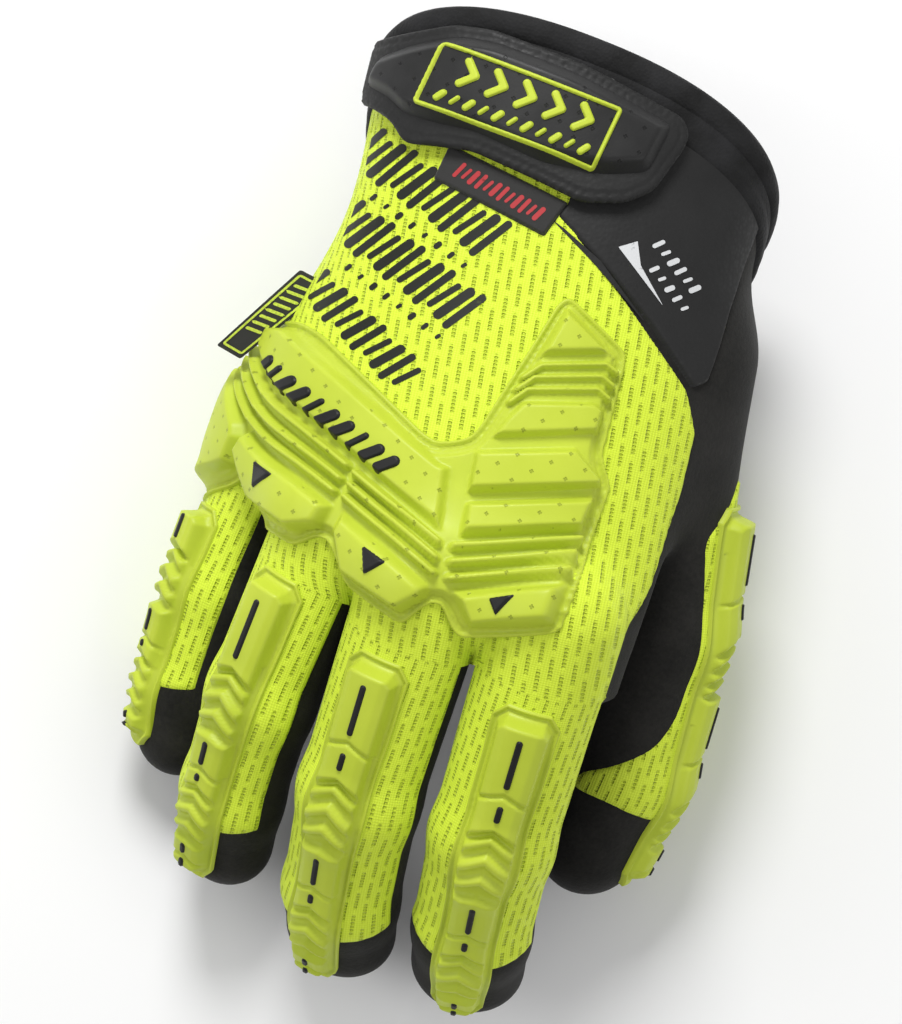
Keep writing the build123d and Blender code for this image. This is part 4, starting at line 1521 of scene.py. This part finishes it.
def make_cuff():
    edge = [(BAND_IN + 0.8, -0.3), (BAND_IN + 0.4, 0.7), (BAND_IN - 0.4, 1.3)]
    flat = [(d, BAND_HEIGHT + 0.12 * math.sin(d * 2.4)) for d in np.arange(BAND_IN - 1.4, 4.6, -0.9)]
    make_ring("cuff_band_fabric", STRETCH, edge + flat + [(4.2, 1.0)], "cuff_band")
    roll = [(5.4, 0.9), (4.9, 1.9), (3.9, 2.5), (2.7, 2.7), (1.4, 2.5), (0.4, 1.8), (-0.1, 0.7)]
    roll += [(0, -0.6), (0.6, -1.8), (1.8, -2.5), (3.4, -2.7), (4.6, -2.6)]
    make_ring("cuff_binding_edge", STRETCH, roll, "cuff_binding")


make_cuff()


# ---------------------------------------------------------------- patches on the back

WEDGE = [
    (9, 70.6), (7.3, 67), (21.2, 57.4), (32.5, 48.5), (45, 37.2), (49, 39.5), (51, 56), (57, 79),
    (52, 92), (32, 101), (10, 100),
]
SLIT = [(6.5, 66.2), (10, 64.6), (19, 59.6), (32, 48.2), (18.4, 58.2)]
LOOP_PATCH = [(-6, 84), (-4, 100), (14, 100), (14, 84)]
BACK_LABEL = [(-18.6, 77.6), (-20.4, 69.4), (5.9, 62), (9.4, 70.4)]


class Patch:
    """A shape on the back of the hand, as a relief with a height over the fabric."""

    def __init__(self, shape, box, step=0.5, rise=0.0):
        (x0, y0), (x1, y1) = box
        self.shape = shape
        ends = np.degrees(np.arctan2(np.array([x0, x1]) * 1.0, 40.0))
        low, high = max(-112.0, ends[0] - 26), min(100.0, ends[1] + 26)
        angles, ys = np.arange(low, high, step * 1.15), np.arange(y0 - rise, y1 + rise, step)
        self.relief = Relief(back_chart, angles, ys, shape, rise)

    def make(self, name, material, height, body="hand", node=None, under=None):
        x, y = self.relief.x, self.relief.y
        piece = self.relief.build(name, material, height(x, y, self.shape(x, y)), under=under)
        return fasten(piece, node, body)


def box_of(points, margin=2.0):
    """The corners of a box round an outline, with a margin."""
    points = np.array(points, float)
    return tuple(points.min(0) - margin), tuple(points.max(0) + margin)


def make_back_patches():
    wedge = Patch(outline_of(WEDGE, 1.0), box_of(WEDGE))
    flat = lambda x, y, d: 0.95 * ramp(-d, -0.1, 0.9) - 0.1
    piece = wedge.make("wrist_wedge_panel", SMOOTH, flat, node="wrist_wedge")
    wedge.relief.declare(piece)
    slit = Patch(lambda x, y: polygon(SLIT, x, y), box_of(SLIT, 1.0), 0.3)
    slit.make("wedge_slit", SMOOTH, lambda x, y, d: 0.62 + 0 * x)
    loop = Patch(outline_of(LOOP_PATCH, 1.5), box_of(LOOP_PATCH), 0.8)
    loop.make("loop_patch_pile", LOOP, lambda x, y, d: raised(d, 2.4, 1.0), node="loop_patch")
    label = Patch(outline_of(BACK_LABEL, 0.6), box_of(BACK_LABEL), 0.4)
    woven = lambda x, y, d: 0.5 + raised(d, 1.0, 0.5)
    label.make("back_label_tape", LABEL, woven, node="back_label")


make_back_patches()


# ---------------------------------------------------------------- closure strap

STRAP = [
    (-45, 84.5), (-43, 97), (-34, 100), (-23.6, 103.6), (-14.9, 104), (5.5, 101), (29.7, 94.6),
    (32, 91.5), (31.6, 88), (27, 77.1), (21.3, 73), (12.1, 71), (1.5, 73.6), (-13.9, 76.9),
    (-29, 75.8), (-33, 80.2), (-38, 82.5),
]
STRAP_PAD = [
    (-42, 87), (-40.5, 94), (-32, 98.2), (-23, 101.6), (-14.5, 102), (5.3, 99), (28.6, 92.6), (25.5, 80.5),
    (15.6, 77.6), (1.5, 77.2), (-14.5, 80.8), (-23.4, 80.8), (-31, 81.6), (-36, 85),
]
STRAP_UNDER = 3.4
STRAP_TOP = 4.7
PAD_TOP = 7.6
BADGE_CORNER = vec(-25, 99.2)
BADGE_ALONG = vec(41.4, -6.5)
BADGE_DOWN = vec(-3.2, -14.8)
BADGE_HEIGHT = 0.8


def strap_height(x, y, d):
    """The strap's top, with its bevelled and stitched edge."""
    height = STRAP_UNDER + 0.2 + (STRAP_TOP - STRAP_UNDER - 0.2) * ramp(-d, 0.0, 0.8)
    return stitched(height, d + 1.5, x - y, 0.3, 2.2)


def pad_height(x, y, d):
    """The top of the pad moulded on the strap."""
    return STRAP_TOP - 0.6 + (PAD_TOP - STRAP_TOP + 0.6) * chamfered(d, 3.4)


def badge_shape(x, y):
    """A frame round a generic row of chevrons over a row of bars."""
    wide, tall = np.linalg.norm(BADGE_ALONG), np.linalg.norm(BADGE_DOWN)
    to_local = np.linalg.inv(np.stack([BADGE_ALONG, BADGE_DOWN], 1))
    dx, dy = x - BADGE_CORNER[0], y - BADGE_CORNER[1]
    u = (to_local[0, 0] * dx + to_local[0, 1] * dy) * wide
    v = (to_local[1, 0] * dx + to_local[1, 1] * dy) * tall
    half_line = 0.55
    box = rounded_box(u - wide / 2, v - tall / 2, wide / 2 - half_line, tall / 2 - half_line, 0.6)
    found = np.abs(box) - half_line
    for k in range(5):
        at = 7.5 + 6.6 * k
        for turn in (-1, 1):
            found = np.minimum(found, bar(u, v, (at, 5.2 + turn * 2.6), (at + 2.6, 5.2), 0.95))
    for k in range(11):
        at = 4.4 + k * 3.3
        found = np.minimum(found, bar(u, v, (at, 12.3), (at + 0.9, 10.9), 0.6 if k % 2 else 0.85))
    return found


def make_strap():
    carrier = Patch(outline_of(STRAP, 2.0), box_of(STRAP), 0.5, 4.0)
    carrier.make("strap_tab", SMOOTH, strap_height, "strap", "strap_carrier", STRAP_UNDER)
    pad_outline = outline_of(STRAP_PAD, 2.5)
    pad = Patch(pad_outline, box_of(STRAP_PAD), 0.45, 6.0)
    pad.make("strap_pad_moulding", BLACK_DIMPLED, pad_height, "strap", "strap_pad")
    low, high = BADGE_CORNER + BADGE_DOWN, BADGE_CORNER + BADGE_ALONG
    badge = Patch(badge_shape, ((low[0] - 1, low[1] - 8), (high[0] + 1, BADGE_CORNER[1] + 1)), 0.28, 6.0)

    def height(x, y, d):
        return pad_height(x, y, pad_outline(x, y)) - 0.1 + raised(d, BADGE_HEIGHT, 0.3)

    badge.make("strap_badge_emblem", RUBBER, height, "strap", "strap_badge")
    hook = Patch(outline_of([(-4, 86), (-2, 98), (12, 98), (12, 86)], 1.5), ((-6, 84), (14, 100)), 0.8)
    fuzz = lambda x, y, d: STRAP_UNDER - 0.15 + 0 * x
    hook.make("strap_hook_patch", LOOP, fuzz, "strap", "hook_patch", STRAP_UNDER - 0.7)


make_strap()


# ---------------------------------------------------------------- generic prints


def tally(rows):
    """Distance to rows of hatching. A row: its ends, height, count and half width."""

    def shape(x, y):
        found = 1e9 + 0 * x
        for (x0, y0), (x1, y1), tall, count, half in rows:
            long = math.hypot(x1 - x0, y1 - y0)
            ux, uy = (x1 - x0) / long, (y1 - y0) / long
            along, across = (x - x0) * ux + (y - y0) * uy, -(x - x0) * uy + (y - y0) * ux
            lean = 0.12 * tall
            for k in range(count):
                at, high = (k + 0.5) * long / count, tall / 2 * (1.0, 0.72, 0.86)[k % 3]
                ends = (at - lean, -high), (at + lean, high)
                found = np.minimum(found, bar(along, across, *ends, half * (1.0, 0.8, 1.25)[k % 3]))
        return found

    return shape


PRINT_ROWS = [
    ((-38, 74.8), (-4, 58.5), 9.5, 13, 0.85), ((-34, 64), (-8, 51.3), 0.9, 8, 0.5),
    ((-39, 58.4), (-6, 41.5), 9.5, 13, 0.85), ((-36, 47.5), (-10, 34.8), 0.9, 8, 0.5),
    ((-43, 43), (-15, 24.8), 7.5, 11, 0.8),
]


def make_prints():
    guard_edge = lambda x, y: -knuckle_edge(x, y) + 0.3
    rows = tally(PRINT_ROWS)
    back = Patch(lambda x, y: np.maximum(rows(x, y), guard_edge(x, y)), ((-46, 18), (2, 84)), 0.3)
    back.make("back_print", BLACK_PRINT, lambda x, y, d: KNIT_HEIGHT + 0.12 + 0 * x)
    label = Patch(tally([((-15.8, 72.6), (4.6, 66.2), 3.0, 12, 0.44)]), ((-19, 60), (9, 78)), 0.25)
    label.make("label_print", RED_PRINT, lambda x, y, d: 1.58 + 0 * x)
    bars = tally([((29.4, 66.9), (41.2, 57.8), 2.0, 6, 0.48), ((29.6, 61.4), (40.0, 53.0), 1.5, 5, 0.46)])
    triangle = [(22.0, 63.4), (25.8, 65.6), (27.6, 60.6), (34.4, 53.0)]
    both = lambda x, y: np.minimum(bars(x, y), polygon(triangle, x, y))
    silver = Patch(both, ((20, 46), (46, 72)), 0.25)
    silver.make("wedge_print", SILVER_PRINT, lambda x, y, d: 1.0 + 0 * x)


make_prints()


# ---------------------------------------------------------------- side label

SIDE_LABEL = [vec(-38, 42.5), vec(-45.6, 44.5), vec(-60.2, 23.8), vec(-54.4, 22)]
SIDE_LABEL_MIDDLE = 33.7
side_label_chart = TabChart(SIDE_LABEL, SIDE_LABEL_MIDDLE)


def label_patch(name, material, shape, lift, node=None, under=None, step=0.4):
    """A flat piece on the side label, this far above its middle."""
    chart = side_label_chart
    u, v = np.arange(-1, chart.wide + 1, step), np.arange(-1, chart.tall + 1, step)
    relief = Relief(chart, u, v, shape)
    piece = relief.build(name, material, lift + 0 * relief.x, under=under)
    fasten(piece, node)


def make_side_label():
    wide, tall = side_label_chart.wide, side_label_chart.tall
    whole_tab = lambda u, v: rounded_box(u - wide / 2, v - tall / 2, wide / 2, tall / 2, 0.5)
    label_patch("side_label_tape", LABEL, whole_tab, 0.6, "side_label", -0.6)

    def border(u, v):
        found = np.abs(rounded_box(u - wide / 2, v - tall / 2, wide / 2 - 1.3, tall / 2 - 1.0, 0.4)) - 0.3
        for k in range(8):
            at = 3.6 + 2.1 * k
            found = np.minimum(found, bar(u, v, (at, 2.2), (at + 0.5, tall - 2.2), 0.42))
        return found

    label_patch("side_label_print", HIVIZ_THREAD, border, 0.75, step=0.22)


make_side_label()


# ---------------------------------------------------------------- palm: pads, saddle and seams

SADDLE = [(20, -14), (33, -22), (41, -10), (40, 20), (36, 36), (24, 36), (18, 12)]
PALM_PADS = [
    [(-38, 4), (-30, -11), (6, -22), (14, -16), (12, -2), (-22, 10)],
    [(-36, 12), (-18, 14), (10, 2), (12, 24), (-10, 34), (-34, 30)],
    [(-30, 38), (-4, 40), (0, 56), (-22, 56)],
]


UNDER_STEP = 0.7


def under_piece(name, points, radius, height, node=None):
    """A suede piece sewn on the palm's side."""
    outline = outline_of(points, radius)
    low, high = box_of(points)
    x, y = np.arange(low[0], high[0], UNDER_STEP), np.arange(low[1], high[1], UNDER_STEP)
    relief = Relief(under_chart, x, y, outline)
    piece = relief.build(name, PAD_SUEDE, height(relief.x, relief.y, outline(relief.x, relief.y)))
    return fasten(piece, node)


def make_palm():
    thin = lambda x, y, d: stitched(1.25 * ramp(-d, -0.1, 0.8) - 0.15, d + 1.6, x + y, 0.3)
    under_piece("thumb_saddle_patch", SADDLE, 5.0, thin, "thumb_saddle")
    quilted = lambda x, y, d: stitched(1.9 * ramp(-d, -0.1, 2.4) - 0.15, d + 1.3, x + y, 0.3)
    for number, points in enumerate(PALM_PADS, 1):
        node = "palm_pads" if number == 1 else None
        under_piece(f"palm_pad_{number}", points, 4.0, quilted, node)


make_palm()


# ---------------------------------------------------------------- floor, light and camera

CAMERA_TURN = math.radians(13.0)
CAMERA_HEIGHT = 0.95
VIEW_HEIGHT = 0.2274
GLOVE_TOP = 0.045
SENSOR = 36.0
VIEW_SHIFT = (-0.0006, -0.0008)


def floor_material():
    n = Nodes("pale_floor", Specular_IOR_Level=0.3)
    return n.finish((0.93, 0.93, 0.93, 1), 0.7)


def make_floor():
    """A flat pale floor, far larger than the glove."""
    size = 1.6
    corners = [(x * size, y * size, 0) for x, y in ((-1, -1), (1, -1), (1, 1), (-1, 1))]
    mesh = bpy.data.meshes.new("floor")
    mesh.from_pydata(corners, [], [(0, 1, 2, 3)])
    mesh.materials.append(floor_material())
    piece = bpy.data.objects.new("floor", mesh)
    bpy.context.scene.collection.objects.link(piece)


def make_light(name, place, size, power, target=(0, 0, 0.03)):
    data = bpy.data.lights.new(name, "AREA")
    data.shape, data.size, data.energy = "DISK", size, power
    light = bpy.data.objects.new(name, data)
    light.location = place
    light.rotation_euler = (Vector(target) - Vector(place)).to_track_quat("-Z", "Y").to_euler()
    bpy.context.scene.collection.objects.link(light)


def make_world():
    world = bpy.data.worlds.new("studio")
    world.use_nodes = True
    background = world.node_tree.nodes["Background"]
    background.inputs["Color"].default_value = (1, 1, 1, 1)
    background.inputs["Strength"].default_value = 0.42
    bpy.context.scene.world = world


def make_camera():
    data = bpy.data.cameras.new("camera")
    data.sensor_width = SENSOR
    data.lens = SENSOR * (CAMERA_HEIGHT - GLOVE_TOP) / VIEW_HEIGHT
    data.clip_start, data.clip_end = 0.01, 10.0
    camera = bpy.data.objects.new("camera", data)
    right, up = VIEW_SHIFT
    c, s = math.cos(CAMERA_TURN), math.sin(CAMERA_TURN)
    camera.location = (
        ORIGIN[0] * MM + right * c - up * s, ORIGIN[1] * MM + right * s + up * c, CAMERA_HEIGHT
    )
    camera.rotation_euler = (0, 0, CAMERA_TURN)
    bpy.context.scene.collection.objects.link(camera)
    bpy.context.scene.camera = camera


make_floor()
make_light("key", (-0.25, 0.75, 0.72), 0.4, 8.6)
make_light("fill", (0.7, -0.2, 0.8), 0.8, 2.2)
make_light("side", (-0.7, -0.1, 0.6), 0.5, 1.6)
make_world()
make_camera()
bpy.context.scene.view_settings.view_transform = "Standard"
